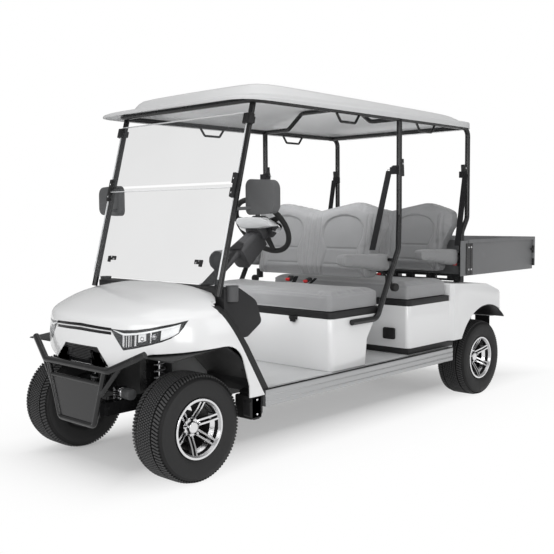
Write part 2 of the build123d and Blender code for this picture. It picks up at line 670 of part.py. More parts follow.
def grab_handles():
    grips = []
    for y in GRIP_Y:
        handle = bent_tube([(POST_X, y - 95, ROOF_FRAME_Z - FRAME_R),
                            (POST_X, y - 62, 1700), (POST_X, y + 62, 1700),
                            (POST_X, y + 95, ROOF_FRAME_Z - FRAME_R)], 14, 7)
        grips += both_sides(handle - block(400, 700, y - 200, y + 200,
                                           ROOF_FRAME_Z - FRAME_R - FIT, 2000))
    return grips


SCREEN_LEAN = 0.2642
SCREEN_X = BODY_HALF_WIDTH - 104
SCREEN_FOOT = 834
SCREEN_POST_R = 15


def screen_y(z):
    """Y of the windscreen posts' centre line at a height."""
    return HOOD_REAR + 190 - SCREEN_LEAN * (1675 - z)


def mid_post(grow):
    """The left middle post: straight down, bent under the side panel, with a foot bar."""
    foot = SEAT_HALF_WIDTH + FIT + TUBE_R
    return bent_tube([(POST_X, BRACE_Y, ROOF_FRAME_Z), (POST_X, BRACE_Y, 1200), (foot, 238, 1010),
                      (foot, 35, 632), (foot, -190, 632)], 60, TUBE_R + grow)


def rear_post(grow):
    """The left rear post: from the side rail's end round and down, then to the rear body."""
    return bent_tube([(POST_X, RAIL_SPLIT + FIT, ROOF_FRAME_Z), (POST_X, REAR_POST_Y, ROOF_FRAME_Z),
                      (POST_X, REAR_POST_Y, 1180), (POST_X, REAR_POST_Y - 64, 1090),
                      (POST_X, REAR_POST_Y - 64, 765)], 55, TUBE_R + grow)


def roof_posts():
    """Three pairs of posts, each cut where it meets the roof's tubes."""
    front = rod((SCREEN_X, screen_y(SCREEN_FOOT), SCREEN_FOOT),
                (SCREEN_X, screen_y(ROOF_FRAME_Z + 10), ROOF_FRAME_Z + 10), SCREEN_POST_R)
    front = front - cowl_block(-FIT) - roof_bow(FIT)
    middle = mid_post(0) - roof_bow(FIT)
    rear = rear_post(0) & block(0, 700, 800, 1200, 775 + FIT, 2000)
    return [both_sides(max(post.solids(), key=lambda s: s.volume))
            for post in (front, middle, rear)]


BEHIND_SEAT_Z = 950


def seat_bar(seat, grow):
    """The bar behind a backrest from post to post, with a stub to each armrest."""
    z = BEHIND_SEAT_Z
    lean = (BACK_SIDE_ROWS[1][0] - BACK_SIDE_ROWS[0][0]) / (BACK_SIDE_ROWS[1][1] - BACK_BOTTOM)
    back_face = BACK_SIDE_ROWS[0][0] + BACK_THICKNESS + lean * (z - BACK_BOTTOM)
    shift = seat * SEAT_PITCH
    y = shift + back_face + (10 + FIT) * math.hypot(1, lean)
    x, post_y = ((SEAT_HALF_WIDTH + 10, 205), (POST_X, REAR_POST_Y - 64))[seat]
    bend = POST_X - 56
    bar = bent_tube([(-x, post_y, z), (-bend, y, z), (bend, y, z), (x, post_y, z)], 20, 10 + grow)
    stubs = [rod((side * bend, ARM_REAR + FIT + shift, z), (side * bend, y, z), 8 + grow)
             for side in (-1, 1)]
    return fuse([bar] + stubs)


def seat_frames():
    """The bars behind the backrests, and a slotted strip between the rear posts."""
    frames = []
    for seat, post in ((0, mid_post(FIT)), (1, rear_post(FIT))):
        frame = seat_bar(seat, 0) - post - mirror(post, about=Plane.YZ)
        frames.append(max(frame.solids(), key=lambda s: s.volume))
    face = REAR_POST_Y - 64 - TUBE_R - FIT
    strip = block(-POST_X, POST_X, face - 7, face, 779, 822)
    for x in range(-400, 401, 160):
        strip = strip - block(x - 45, x + 45, face - 20, face + 20, 793, 808)
    return frames + [strip]


PANE_SETBACK = (SCREEN_POST_R + FIT) * math.hypot(1, SCREEN_LEAN)


def windscreen():
    panes = []
    for z0, z1 in ((888, 1358), (1370, 1700)):
        y0, y1 = screen_y(z0) - PANE_SETBACK, screen_y(z1) - PANE_SETBACK
        panes.append(side_prism([(y0, z0, 0), (y1, z1, 0), (y1 - 5, z1, 0), (y0 - 5, z0, 0)],
                                -SCREEN_X - 2, SCREEN_X + 2))
    return panes


def mirrors():
    """Rounded heads beside the windscreen, each on an arm from its post."""
    inner, outer = SCREEN_X + 9, SCREEN_X + 194
    head = front_prism([(inner, 1210, 30), (outer, 1220, 40), (outer, 1372, 45),
                        (inner, 1382, 35)], screen_y(1400) + 26, screen_y(1400) + 70)
    arm = rod((SCREEN_X, screen_y(1240), 1240), (inner + 40, screen_y(1400) + 48, 1246), 8)
    post = rod((SCREEN_X, screen_y(1100), 1100), (SCREEN_X, screen_y(1400), 1400),
               SCREEN_POST_R + FIT)
    pair = fuse([head, arm]) - post
    return both_sides(max(pair.solids(), key=lambda s: s.volume))


def seat_belts():
    """Shoulder straps, each from a guide on its post down beside the backrest."""
    straps = []
    rows = ((0, BRACE_Y, 112, SEAT_HALF_WIDTH - 93.5), (1, REAR_POST_Y, 940, SEAT_HALF_WIDTH - 42))
    for seat, post_y, foot, x in rows:
        top = post_y - TUBE_R - FIT
        strap = side_prism([(top - 20, 1460, 0), (foot, 1010, 0), (foot + 2, 1008, 0),
                            (top - 18, 1458, 0)], x, x + 40)
        guide = block(POST_X - 36, POST_X + 9, top - 26, top, 1440, 1480)
        straps += both_sides(fuse([strap, guide]))
    return straps


# ---------------------------------------------------------------- steering
WHEEL_CENTRE = (280, HOOD_REAR + 485, 1155)


def on_column(distance):
    """A point on the column's axis, a distance below the steering wheel's centre."""
    turn = math.radians(STEERING_TILT)
    return (WHEEL_CENTRE[0], WHEEL_CENTRE[1] - distance * math.cos(turn),
            WHEEL_CENTRE[2] - distance * math.sin(turn))


def column_plane(distance):
    turn = math.radians(STEERING_TILT)
    return Plane(origin=on_column(distance), x_dir=(-1, 0, 0),
                 z_dir=(0, math.cos(turn), math.sin(turn)))


COLUMN_TOP = 24 + FIT         # below the steering wheel centre


def steering_column():
    """The column's tube, with a moulded cover that is deeper below than above."""
    tube = column_plane(520) * Cylinder(24, 520 - COLUMN_TOP,
                                        align=(Align.CENTER, Align.CENTER, Align.MIN))
    tube = tube - side_prism([(y - FIT, z + FIT, 0) for y, z, r in DASH_ROWS], -500, 500)
    tube = tube - block(0, 600, HOOD_REAR - 150, HOOD_REAR + 350, 0, 868 + FIT)
    cover = column_plane(235) * extrude(outline([(-50, -92, 22), (50, -92, 22), (58, 30, 26),
                                                 (-58, 30, 26)]), amount=175, taper=4)
    return fuse([tube, cover])


def steering_wheel():
    """A padded rim on three flat spokes that widen to the hub."""
    rim = Torus(STEERING_WHEEL_R, 14)
    hub = Pos(0, 0, -8) * Cylinder(42, 32)
    arm = plan_prism([(20, -24, 0), (STEERING_WHEEL_R - 3, -12, 0), (STEERING_WHEEL_R - 3, 12, 0),
                      (20, 24, 0)], -10, -2)
    return column_plane(0) * fuse([rim, hub] + [Rot(0, 0, a) * arm for a in (-90, 20, 160)])


KNUCKLE_BOTTOM = 205
KNUCKLE_TOP = 335
STUB_R = 15
STUB_END = 30                 # beyond the wheel's centre plane
HOLE = STUB_R + RUNNING
PIN_R = 6
ARM_TOP = 255


def knuckle():
    post = Pos(KINGPIN_X, FRONT_Y, (KNUCKLE_BOTTOM + KNUCKLE_TOP) / 2) * Cylinder(
        17, KNUCKLE_TOP - KNUCKLE_BOTTOM)
    stub = rod((KINGPIN_X, FRONT_Y, AXLE_Z), (WHEEL_X + STUB_END, FRONT_Y, AXLE_Z), STUB_R)
    arm = block(KINGPIN_X - 12, KINGPIN_X + 12, FRONT_Y, FRONT_Y + STEER_ARM, ARM_TOP - 18, ARM_TOP)
    eye = Pos(KINGPIN_X, FRONT_Y + STEER_ARM, ARM_TOP - 9) * Cylinder(14, 18)
    pin = Pos(KINGPIN_X, FRONT_Y + STEER_ARM, ARM_TOP + 10) * Cylinder(PIN_R, 20)
    return fuse([post, stub, arm, eye, pin])


def tie_rod():
    y = FRONT_Y + STEER_ARM
    z = ARM_TOP + FIT + 8
    bars = [rod((-KINGPIN_X, y, z), (KINGPIN_X, y, z), 7.5)]
    for side in (-1, 1):
        bars.append(Pos(side * KINGPIN_X, y, z) * Cylinder(14, 16))
    link = fuse(bars)
    for side, play in ((1, RUNNING), (-1, 0.6)):
        link = link - Pos(side * KINGPIN_X, y, z) * Cylinder(PIN_R + play, 40)
    return link


def control_arms():
    arms = []
    inner = FRONT_RAIL_X + RAIL_WIDTH / 2 + FIT
    for z0, z1, slot in ((KNUCKLE_BOTTOM - FIT - 18, KNUCKLE_BOTTOM - FIT, 236),
                         (KNUCKLE_TOP + FIT, KNUCKLE_TOP + FIT + 16, 308)):
        rows = [(inner, FRONT_Y - 62, 0), (KINGPIN_X - 25, FRONT_Y - 55, 20),
                (KINGPIN_X + 17, FRONT_Y - 17, 16), (KINGPIN_X + 17, FRONT_Y + 17, 16),
                (KINGPIN_X - 25, FRONT_Y + 55, 20), (inner, FRONT_Y + 62, 0),
                (inner, FRONT_Y + 36, 0), (slot, FRONT_Y + 36, 10), (slot, FRONT_Y - 36, 10),
                (inner, FRONT_Y - 36, 0)]
        arms += both_sides(plan_prism(rows, z0, z1))
    return arms


def coil_overs():
    x = COIL_X
    low = KNUCKLE_BOTTOM
    high = TOWER_TOP - 25 - FIT
    rodded = Pos(x, FRONT_Y, (low + high) / 2) * Cylinder(16, high - low)
    spring = Pos(x, FRONT_Y, (low + 90 + high) / 2) * Cylinder(29, high - low - 110)
    return both_sides(fuse([rodded, spring]))


# ---------------------------------------------------------------- wheels
def revolved(rows):
    """A ring turned about the wheel's own axis, X, from rows of x, radius and corner radius."""
    return revolve(Plane.XY * outline(rows), axis=Axis.X)


def wheel_tyre():
    bead = RIM_RADIUS + FIT
    half = TYRE_WIDTH / 2
    rows = [(-83, bead, 0), (-87, RIM_FLANGE + 1, 0), (-half, 168, 18), (-half, 218, 20),
            (-half + 12, TYRE_RADIUS - 9, 8), (-55, TYRE_RADIUS, 0), (55, TYRE_RADIUS, 0),
            (half - 12, TYRE_RADIUS - 9, 8), (half, 218, 20), (half, 168, 18),
            (87, RIM_FLANGE + 1, 0), (83, bead, 0)]
    return revolved(rows)


SPOKE_OFFSET = 11             # of each spoke from the middle of its pair
SPOKE_WIDTH = 9


def wheel_rim():
    edge = RIM_WIDTH / 2
    barrel = revolved([(-edge, 120, 0), (-edge, RIM_FLANGE, 3), (-edge + 7, RIM_FLANGE, 0),
                       (-edge + 10, RIM_RADIUS, 0), (-58, RIM_RADIUS, 0), (-40, 112, 0),
                       (40, 112, 0), (58, RIM_RADIUS, 0), (edge - 10, RIM_RADIUS, 0),
                       (edge - 7, RIM_FLANGE, 0), (edge, RIM_FLANGE, 3), (edge, 129, 0),
                       (82, 121, 0), (60, 119, 0), (42, 105, 0), (-42, 105, 0), (-60, 120, 0)])
    hub = revolved([(-58, HOLE, 0), (-58, 72, 8), (10, 72, 4), (14, 48, 0), (34, 46, 4),
                    (36, 29, 0), (52, 26, 6), (52, 0, 0), (STUB_END + 2, 0, 0),
                    (STUB_END + 2, HOLE, 0)])
    bar = outline([(12, 38, 0), (34, 38, 0), (70, 90, 60), (86, 122.5, 0), (68, 122.5, 0),
                   (50, 90, 60)])
    solids = [barrel, hub]
    for i in range(SPOKE_PAIRS):
        for offset in (-SPOKE_OFFSET, SPOKE_OFFSET):
            spoke = Pos(0, 0, offset - SPOKE_WIDTH / 2) * extrude(bar, amount=SPOKE_WIDTH)
            solids.append(Rot(i * 360 / SPOKE_PAIRS, 0, 0) * spoke)
    return fuse(solids)


def wheel_places():
    """Name of each wheel with its side of the cart and its axle."""
    for axle in ("front", "rear"):
        for side, name in ((1, "left"), (-1, "right")):
            yield f"{axle}_{name}", side, axle


def placed_wheel(piece, side, axle):
    piece = Rot(SPOKE_START[axle], 0, 0) * piece
    if side < 0:
        piece = mirror(piece, about=Plane.YZ)
    return Pos(side * WHEEL_X, AXLE_Y[axle], AXLE_Z) * piece


# ---------------------------------------------------------------- rear axle and battery
def rear_axle():
    """The axle tube with its stubs, the final drive's casing and the motor ahead of it."""
    y = REAR_Y
    tube = rod((-350, y, AXLE_Z), (350, y, AXLE_Z), 33)
    stubs = rod((-WHEEL_X - STUB_END, y, AXLE_Z), (WHEEL_X + STUB_END, y, AXLE_Z), STUB_R)
    casing = Pos(0, y, AXLE_Z) * Rot(0, 90, 0) * Cylinder(82, 150)
    motor = Pos(-20, y - 165, AXLE_Z) * Rot(90, 0, 0) * Cylinder(78, 190)
    return fuse([tube, stubs, casing, motor])


SPRING_X = 300
SPRING_HALF = 290


def leaf_springs():
    """One leaf under each end of the axle, hung from the rails at both ends."""
    y = REAR_Y
    low = AXLE_Z - 33 - FIT
    leaf = side_prism([(y - SPRING_HALF, 262, 0), (y - 60, low, 60), (y + 60, low, 60),
                       (y + SPRING_HALF, 262, 0), (y + SPRING_HALF, 244, 0), (y + 60, low - 20, 60),
                       (y - 60, low - 20, 60), (y - SPRING_HALF, 244, 0)],
                      SPRING_X - 25, SPRING_X + 25)
    ends = [block(SPRING_X - 25, SPRING_X - 15, y + s * SPRING_HALF - 12, y + s * SPRING_HALF + 12,
                  250, RAIL_BOTTOM - FIT) for s in (-1, 1)]
    return both_sides(fuse([leaf] + ends))


def battery_block():
    return block(-330, 330, FRONT_BASE_Y + 25, -75, DECK_TOP + FIT, 610)


# ---------------------------------------------------------------- cargo bed
BED_FLOOR = 18
HINGE_Y = REAR_END - 8
HINGE_Z = BED_BOTTOM + 10
GATE_BOTTOM = BED_BOTTOM + 22
GATE_GAP = 0.5
BED_REAR = REAR_END - TAILGATE_THICKNESS - GATE_GAP
RIM_DEPTH = 22
RIM_PROUD = 8
WING_LENGTH = 88


def hinge_ears(places, y0, y1, z0, z1):
    """Barrels on the tailgate's hinge line, each with the tab that holds it."""
    ears = []
    for x in places:
        ears.append(Pos(x + 20, HINGE_Y, HINGE_Z) * Rot(0, 90, 0) * Cylinder(8, 38))
        ears.append(block(x + 1, x + 39, y0, y1, z0, z1))
    return ears


def cargo_bed():
    """The box's tray with a rim round its top, and a wing ahead of it on each side."""
    side = BED_HALF_WIDTH - RIM_PROUD
    inner = BED_HALF_WIDTH - BED_WALL
    tray = block(-side, side, BED_FRONT, BED_REAR, BED_BOTTOM, BED_TOP)
    rim = block(-BED_HALF_WIDTH, BED_HALF_WIDTH, BED_FRONT, BED_REAR, BED_TOP - RIM_DEPTH, BED_TOP)
    wing = block(side - 6, side, BED_FRONT - WING_LENGTH, BED_FRONT, BED_BOTTOM, BED_TOP - 4)
    bed = fuse([tray, rim] + both_sides(wing))
    bed = bed - block(-inner, inner, BED_FRONT + BED_WALL, BED_REAR + 10,
                      BED_BOTTOM + BED_FLOOR, BED_TOP + 10)
    return fuse([bed] + hinge_ears((-402, 362), BED_REAR, HINGE_Y, HINGE_Z - 4, HINGE_Z + 2))


def tailgate():
    """The drop gate, with a pressed panel in its face and the other halves of the hinges."""
    gate = block(-BED_HALF_WIDTH, BED_HALF_WIDTH, BED_REAR + GATE_GAP, REAR_END,
                 GATE_BOTTOM, BED_TOP)
    press = front_prism([(-500, GATE_BOTTOM + 40, 20), (500, GATE_BOTTOM + 40, 20),
                         (500, BED_TOP - 40, 20), (-500, BED_TOP - 40, 20)], REAR_END - 4, REAR_END + 4)
    return fuse([gate - press] + hinge_ears((-443, -361, 321, 403), HINGE_Y, REAR_END,
                                            HINGE_Z, GATE_BOTTOM))


def bed_straps():
    """Black strips that bolt the box's front corners to its sides."""
    side = BED_HALF_WIDTH - RIM_PROUD + FIT
    low, high = BED_BOTTOM + 2, BED_TOP - RIM_DEPTH - FIT
    front = BED_FRONT - 28
    strap = plan_prism([(side, front, 0), (side + 5, front, 0), (side + 5, front + 22, 0),
                        (side + 2.5, front + 26, 0), (side + 2.5, front + 52, 0),
                        (side + 5, front + 56, 0), (side + 5, front + 78, 0), (side, front + 78, 0)],
                       low, high)
    return both_sides(strap)


SINGLE_NODES = (frame_rails, cross_members, hitch_plate, shock_tower, bed_posts, floor_deck,
                side_sills, front_cowl, body_trims, dashboard, instrument_pod, pedals,
                front_wheel_liners, rear_wheel_liners, bumper_guard, steering_gear,
                front_seat_base, seat_trays, seat_cushions, backrests, armrests, seat_frames,
                rear_body, charging_socket, tail_lights, mud_flaps, roof_panel, roof_frame,
                roof_braces, grab_handles, roof_posts, windscreen, mirrors, seat_belts,
                steering_column, steering_wheel, tie_rod, control_arms, coil_overs, rear_axle,
                leaf_springs, battery_block, cargo_bed, tailgate, bed_straps)

for make in SINGLE_NODES:
    write(make.__name__, make())
write("headlights", both_sides(cowl_piece(HEADLIGHT_ROWS, 1, 30)))
write("light_bar", cowl_piece(LIGHT_BAR_ROWS, 0, 20))
write("grille_panel", cowl_piece(GRILLE_ROWS, 0, 20))
left_knuckle = knuckle()
write("knuckle_left", left_knuckle)
write("knuckle_right", mirror(left_knuckle, about=Plane.YZ))
tyre = wheel_tyre()
rim = wheel_rim()
for name, side, axle in wheel_places():
    write(f"tyre_{name}", placed_wheel(tyre, side, axle))
    write(f"rim_{name}", placed_wheel(rim, side, axle))
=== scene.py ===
# %% [markdown]
# # An electric utility cart, finished in Blender
# The cart comes in as a fixed frame: every rigid part is already at its real size and place.
# Here it gets its finishes, its soft seats, its moulded body panels, its tread and its small
# fittings. All lengths are metres. The cart faces -Y, its left side is +X and +Z is up.

# %% Load the frame
import bmesh
import bpy
import json
import math
from mathutils import Matrix, Vector

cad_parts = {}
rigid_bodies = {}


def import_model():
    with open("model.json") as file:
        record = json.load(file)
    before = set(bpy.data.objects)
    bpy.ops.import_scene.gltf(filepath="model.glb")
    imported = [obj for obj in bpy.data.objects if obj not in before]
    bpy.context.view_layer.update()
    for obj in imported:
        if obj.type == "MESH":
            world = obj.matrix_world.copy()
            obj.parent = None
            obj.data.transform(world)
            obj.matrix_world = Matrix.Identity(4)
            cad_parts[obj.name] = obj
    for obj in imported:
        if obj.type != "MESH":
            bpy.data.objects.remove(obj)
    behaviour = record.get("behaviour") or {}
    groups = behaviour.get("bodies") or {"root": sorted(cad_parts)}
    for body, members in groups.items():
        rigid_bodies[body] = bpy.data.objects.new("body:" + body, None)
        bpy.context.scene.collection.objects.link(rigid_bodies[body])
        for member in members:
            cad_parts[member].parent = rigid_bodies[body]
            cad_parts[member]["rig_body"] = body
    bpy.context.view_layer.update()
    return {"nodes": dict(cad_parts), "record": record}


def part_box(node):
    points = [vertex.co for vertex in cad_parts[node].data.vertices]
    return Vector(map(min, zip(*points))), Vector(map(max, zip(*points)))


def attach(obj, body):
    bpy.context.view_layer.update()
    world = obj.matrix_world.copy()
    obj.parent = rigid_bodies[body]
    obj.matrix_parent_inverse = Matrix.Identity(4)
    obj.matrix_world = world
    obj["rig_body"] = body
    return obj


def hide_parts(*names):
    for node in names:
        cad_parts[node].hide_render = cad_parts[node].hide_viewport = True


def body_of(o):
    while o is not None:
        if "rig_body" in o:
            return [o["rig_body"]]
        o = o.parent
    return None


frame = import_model()

# %% [markdown]
# ## The camera
# A long lens from the left front, at about chest height, shows the cart as a catalogue does.
# The heading is measured round +Z from looking along +Y, and the pitch is downwards.

# %% Camera
HEADING, PITCH, ROLL = (math.radians(a) for a in (43.2932, 4.2725, -0.4411))
camera = bpy.data.objects.new("camera", bpy.data.cameras.new("camera"))
camera.data.lens = 53.79
camera.data.sensor_width = 36.0
camera.location = (3.3144, -3.8792, 1.2097)
camera.rotation_euler = (Matrix.Rotation(HEADING, 4, "Z") @ Matrix.Rotation(math.pi / 2 - PITCH, 4, "X")
                         @ Matrix.Rotation(ROLL, 4, "Z")).to_euler()
bpy.context.scene.collection.objects.link(camera)
bpy.context.scene.camera = camera
print("camera stands", round(camera.location.length, 2), "m from the origin")

# %% [markdown]
# ## Sums on sockets
# A material's pattern is a sum. Wired by hand, a sum is hard to read, so this small class wraps
# a socket and lets Python's own operators add the Math nodes. Everything that is not a sum comes
# from one method, `node`, which takes the node's type, its settings and its sockets.

# %% A socket that can be added and multiplied
class Signal:
    """A socket of one node tree. Each operator adds a Math node and gives its result."""

    def __init__(self, wiring, socket):
        self.wiring = wiring
        self.socket = socket

    def sum_of(self, operation, *values):
        return self.wiring.node("ShaderNodeMath", {"operation": operation}, dict(enumerate(values)))

    def __add__(self, other):
        return self.sum_of("ADD", self, other)

    def __radd__(self, other):
        return self.sum_of("ADD", other, self)

    def __sub__(self, other):
        return self.sum_of("SUBTRACT", self, other)

    def __rsub__(self, other):
        return self.sum_of("SUBTRACT", other, self)

    def __mul__(self, other):
        return self.sum_of("MULTIPLY", self, other)

    def __rmul__(self, other):
        return self.sum_of("MULTIPLY", other, self)

    def __truediv__(self, other):
        return self.sum_of("DIVIDE", self, other)

    def __rtruediv__(self, other):
        return self.sum_of("DIVIDE", other, self)

    def __pow__(self, other):
        return self.sum_of("POWER", self, other)

    def __gt__(self, other):
        return self.sum_of("GREATER_THAN", self, other)

    def __lt__(self, other):
        return self.sum_of("LESS_THAN", self, other)

    def __abs__(self):
        return self.sum_of("ABSOLUTE", self)

    def sine(self):
        return self.sum_of("SINE", self)

    def largest(self, other):
        return self.sum_of("MAXIMUM", self, other)

    def between(self, low, high):
        """0 at low, 1 at high, held outside."""
        return self.wiring.node("ShaderNodeMapRange", {"clamp": True},
                                {"Value": self, "From Min": low, "From Max": high})


print("a socket knows", sorted(name for name in vars(Signal) if callable(vars(Signal)[name])))

# %% A tree that sums are written in
class Wiring:
    """A node tree that sums can be written in."""

    def node(self, kind, settings=None, sockets=None, out=0):
        made = self.tree.nodes.new(kind)
        for label, value in (settings or {}).items():
            setattr(made, label, value)
        for key, value in (sockets or {}).items():
            if isinstance(value, Signal):
                self.tree.links.new(value.socket, made.inputs[key])
            else:
                made.inputs[key].default_value = value
        return Signal(self, made.outputs[out])

    def ray(self, kind):
        """1 for one kind of ray: Camera, Glossy or Transmission."""
        return self.node("ShaderNodeLightPath", out=f"Is {kind} Ray")


print("a tree can add", [name for name in vars(Wiring) if not name.startswith("_")])

# %% [markdown]
# ## What a finish is
# Paint, plastic, rubber and metal are all one Principled surface with a few of its inputs fed by
# a pattern. The patterns read a point's place on the cart in metres, so a grain has its real size
# on every piece, and nothing slides when a piece moves with its body.

# %% A finish
FINISHES = {}


class Finish(Wiring):
    """One material: its Principled surface, and what feeds it. It can be looked up by its name."""

    def __init__(self, name, colour, roughness, **fixed):
        self.material = bpy.data.materials.new(name)
        self.material.use_nodes = True
        self.tree = self.material.node_tree
        self.surface = next(n for n in self.tree.nodes if n.type == "BSDF_PRINCIPLED")
        self.surface.inputs["Base Color"].default_value = (*colour, 1.0)
        self.surface.inputs["Roughness"].default_value = roughness
        self.material.diffuse_color = (*colour, 1.0)
        for label, value in fixed.items():
            self.surface.inputs[label.replace("_", " ")].default_value = value
        FINISHES[name] = self.material

    def place(self):
        """Where a point is on the piece, in metres."""
        return self.node("ShaderNodeTexCoord", out="Object")

    def axes(self, vector=None):
        """The three parts of a vector, as numbers."""
        vector = vector or self.place()
        return [self.node("ShaderNodeSeparateXYZ", {}, {0: vector}, out=i) for i in range(3)]

    def stretched(self, x, y, z):
        return self.node("ShaderNodeMapping", {}, {"Vector": self.place(), "Scale": (x, y, z)})

    def noise(self, scale, detail=2.0, vector=None):
        return self.node("ShaderNodeTexNoise", {"noise_dimensions": "3D"},
                         {"Vector": vector or self.place(), "Scale": scale, "Detail": detail})

    def cells(self, scale):
        """Distance from the nearest edge of a net of cells, as in leather."""
        return self.node("ShaderNodeTexVoronoi", {"feature": "DISTANCE_TO_EDGE"},
                         {"Vector": self.place(), "Scale": scale})

    def facing(self, blend):
        """0 where the surface is seen square on, 1 at its rim, as gloss on glass goes."""
        return self.node("ShaderNodeLayerWeight", {}, {"Blend": blend}, out="Facing")

    def mix(self, mask, colour_a, colour_b):
        return self.node("ShaderNodeMix", {"data_type": "RGBA"},
                         {0: mask, 6: (*colour_a, 1.0), 7: (*colour_b, 1.0)}, out=2)

    def feed(self, label, signal):
        self.tree.links.new(signal.socket, self.surface.inputs[label])

    def bump(self, height, depth):
        """Raises the surface by depth metres where height is 1."""
        self.feed("Normal", self.node("ShaderNodeBump", {},
                                      {"Strength": 1.0, "Distance": depth, "Height": height}))


def waves(distance, pitch):
    """A sine along a distance, one wave to each pitch."""
    return (distance * (math.tau / pitch)).sine()


print("a finish can read", [name for name in vars(Finish) if not name.startswith("_")])

# %% [markdown]
# ## Stage and light
# A studio sweep could be modelled as a curved sheet; a flat floor that fades into a white world
# does the same with nothing to light unevenly. Four soft lamps and the world do the lighting, at
# a level where a colour renders about as it is written. Camera and glass rays see the world as
# plain white, and mirrors see it darker, which keeps black parts black.

# %% World
class Sky(Wiring):
    """The world's own node tree."""

    def __init__(self, world):
        self.tree = world.node_tree


WORLD_LEVEL = 0.62
MIRROR_DIMMING = 0.22
scene = bpy.context.scene
scene.view_settings.view_transform = "Standard"
scene.world = bpy.data.worlds.new("studio")
scene.world.use_nodes = True
sky = Sky(scene.world)
seen = sky.ray("Camera").largest(sky.ray("Transmission"))
level = seen * (1.0 - WORLD_LEVEL) + WORLD_LEVEL - sky.ray("Glossy") * MIRROR_DIMMING
background = sky.tree.nodes["Background"]
background.inputs["Color"].default_value = (1.0, 1.0, 1.0, 1.0)
sky.tree.links.new(level.socket, background.inputs["Strength"])
print("world lights at", WORLD_LEVEL, "and shows in mirrors at", round(WORLD_LEVEL - MIRROR_DIMMING, 2))

# %% [markdown]
# The floor keeps the cart's soft shadow close to it. Farther out, where a camera or a mirror looks
# at it, it fades to the world's own white, so there is no horizon.

# %% Floor
FLOOR_REACH = 60.0
FLOOR_LIFT = 0.30
FADE_POWER = 0.8
bpy.ops.mesh.primitive_plane_add(size=2 * FLOOR_REACH, location=(0, 0, -0.0005))
floor = bpy.context.object
floor.name = "studio_floor"
white = Finish("studio_white", (0.68, 0.68, 0.68), 0.9, Specular_IOR_Level=0.0)
x, y, _ = white.axes()
out_x, out_y = abs(x + 0.12), abs(y) - 1.55
far = out_x.between(0.27, 0.67) ** FADE_POWER * 0.84 + out_x.between(0.67, 1.30) * 0.16
far = far.largest(out_y.between(0.0, 0.75) ** FADE_POWER)
seen = white.ray("Camera").largest(white.ray("Glossy")).largest(white.ray("Transmission"))
plain_white = white.node("ShaderNodeEmission", {}, {"Color": (1, 1, 1, 1), "Strength": 1.0})
lift = white.node("ShaderNodeEmission", {}, {"Color": (1, 1, 1, 1), "Strength": seen * FLOOR_LIFT})
near_floor = white.node("ShaderNodeAddShader", {}, {0: Signal(white, white.surface.outputs[0]), 1: lift})
blend = white.node("ShaderNodeMixShader", {}, {0: far * seen, 1: near_floor, 2: plain_white})
output = next(n for n in white.tree.nodes if n.type == "OUTPUT_MATERIAL")
white.tree.links.new(blend.socket, output.inputs["Surface"])
floor.data.materials.append(white.material)
print("floor reaches", FLOOR_REACH, "m each way")

# %% Lamps
def lamp(name, place, target, width, height, watts):
    light = bpy.data.lights.new(name, "AREA")
    light.shape = "RECTANGLE"
    light.size, light.size_y, light.energy = width, height, watts
    holder = bpy.data.objects.new(name, light)
    holder.location = place
    holder.rotation_euler = (Vector(target) - Vector(place)).to_track_quat("-Z", "Y").to_euler()
    scene.collection.objects.link(holder)
    return holder


lamp("top_softbox", (0.5, -0.4, 4.6), (0, 0, 0.6), 5.0, 6.0, 88)
lamp("side_softbox", (5.2, 0.6, 2.6), (0, 0, 0.8), 3.0, 2.4, 36)
lamp("front_softbox", (0.9, -5.6, 1.9), (0, 0, 0.8), 3.0, 2.0, 55)
lamp("corner_softbox", (3.9, -3.4, 1.5), (0, 0.3, 0.8), 1.8, 1.4, 40)
print("softboxes", [light.name for light in bpy.data.lights])

# %% [markdown]
# The roof keeps the soft light off the seats and the footwell, where a real studio's walls would
# throw some back, so three weak lamps stand under it. Cameras, mirrors and glass don't see them.

# %% Lamps under the roof
FILL_WIDTH, FILL_HEIGHT = 0.9, 0.3
for name, place, target, watts in (
        ("front_fill", (0.0, -0.98, 1.52), (0.0, 0.1216, 0.80), 3.5),
        ("rear_fill", (0.0, -0.12, 1.52), (0.0, 0.9816, 0.80), 3.6),
        ("foot_fill", (0.0, -0.95, 1.02), (0.05, -0.50, 0.55), 3.2)):
    fill = lamp(name, place, target, FILL_WIDTH, FILL_HEIGHT, watts)
    fill.visible_camera = fill.visible_glossy = fill.visible_transmission = False
print("lamps", len(bpy.data.lights), "with", round(sum(light.energy for light in bpy.data.lights)), "W")

# %% [markdown]
# ## Finishes
# Each finish is the real one's colour with the small things that make it read as itself: grain,
# a little unevenness in the gloss, brushing along the extrusion, dust in the rubber. They could be
# pictures wrapped round the parts; sums need no unwrapping and have the same size everywhere.

# %% White and grey moulded panels
def moulded(name, colour, roughness, coat):
    """Gloss-painted thermoplastic: a faint orange peel and uneven gloss under a clear coat."""
    finish = Finish(name, colour, roughness, Coat_Weight=coat, Coat_Roughness=0.06)
    finish.feed("Roughness", finish.noise(9.0, 3.0) * 0.08 + (roughness - 0.04))
    finish.bump(finish.noise(260.0, 1.0) + finish.noise(3.5, 1.0) * 6.0, 0.00006)


moulded("body_white", (0.73, 0.733, 0.738), 0.18, 0.45)
moulded("roof_grey", (0.56, 0.563, 0.567), 0.36, 0.15)
moulded("roof_lining", (0.78, 0.785, 0.79), 0.55, 0.0)
print("panel finishes", ", ".join(list(FINISHES)[-3:]))

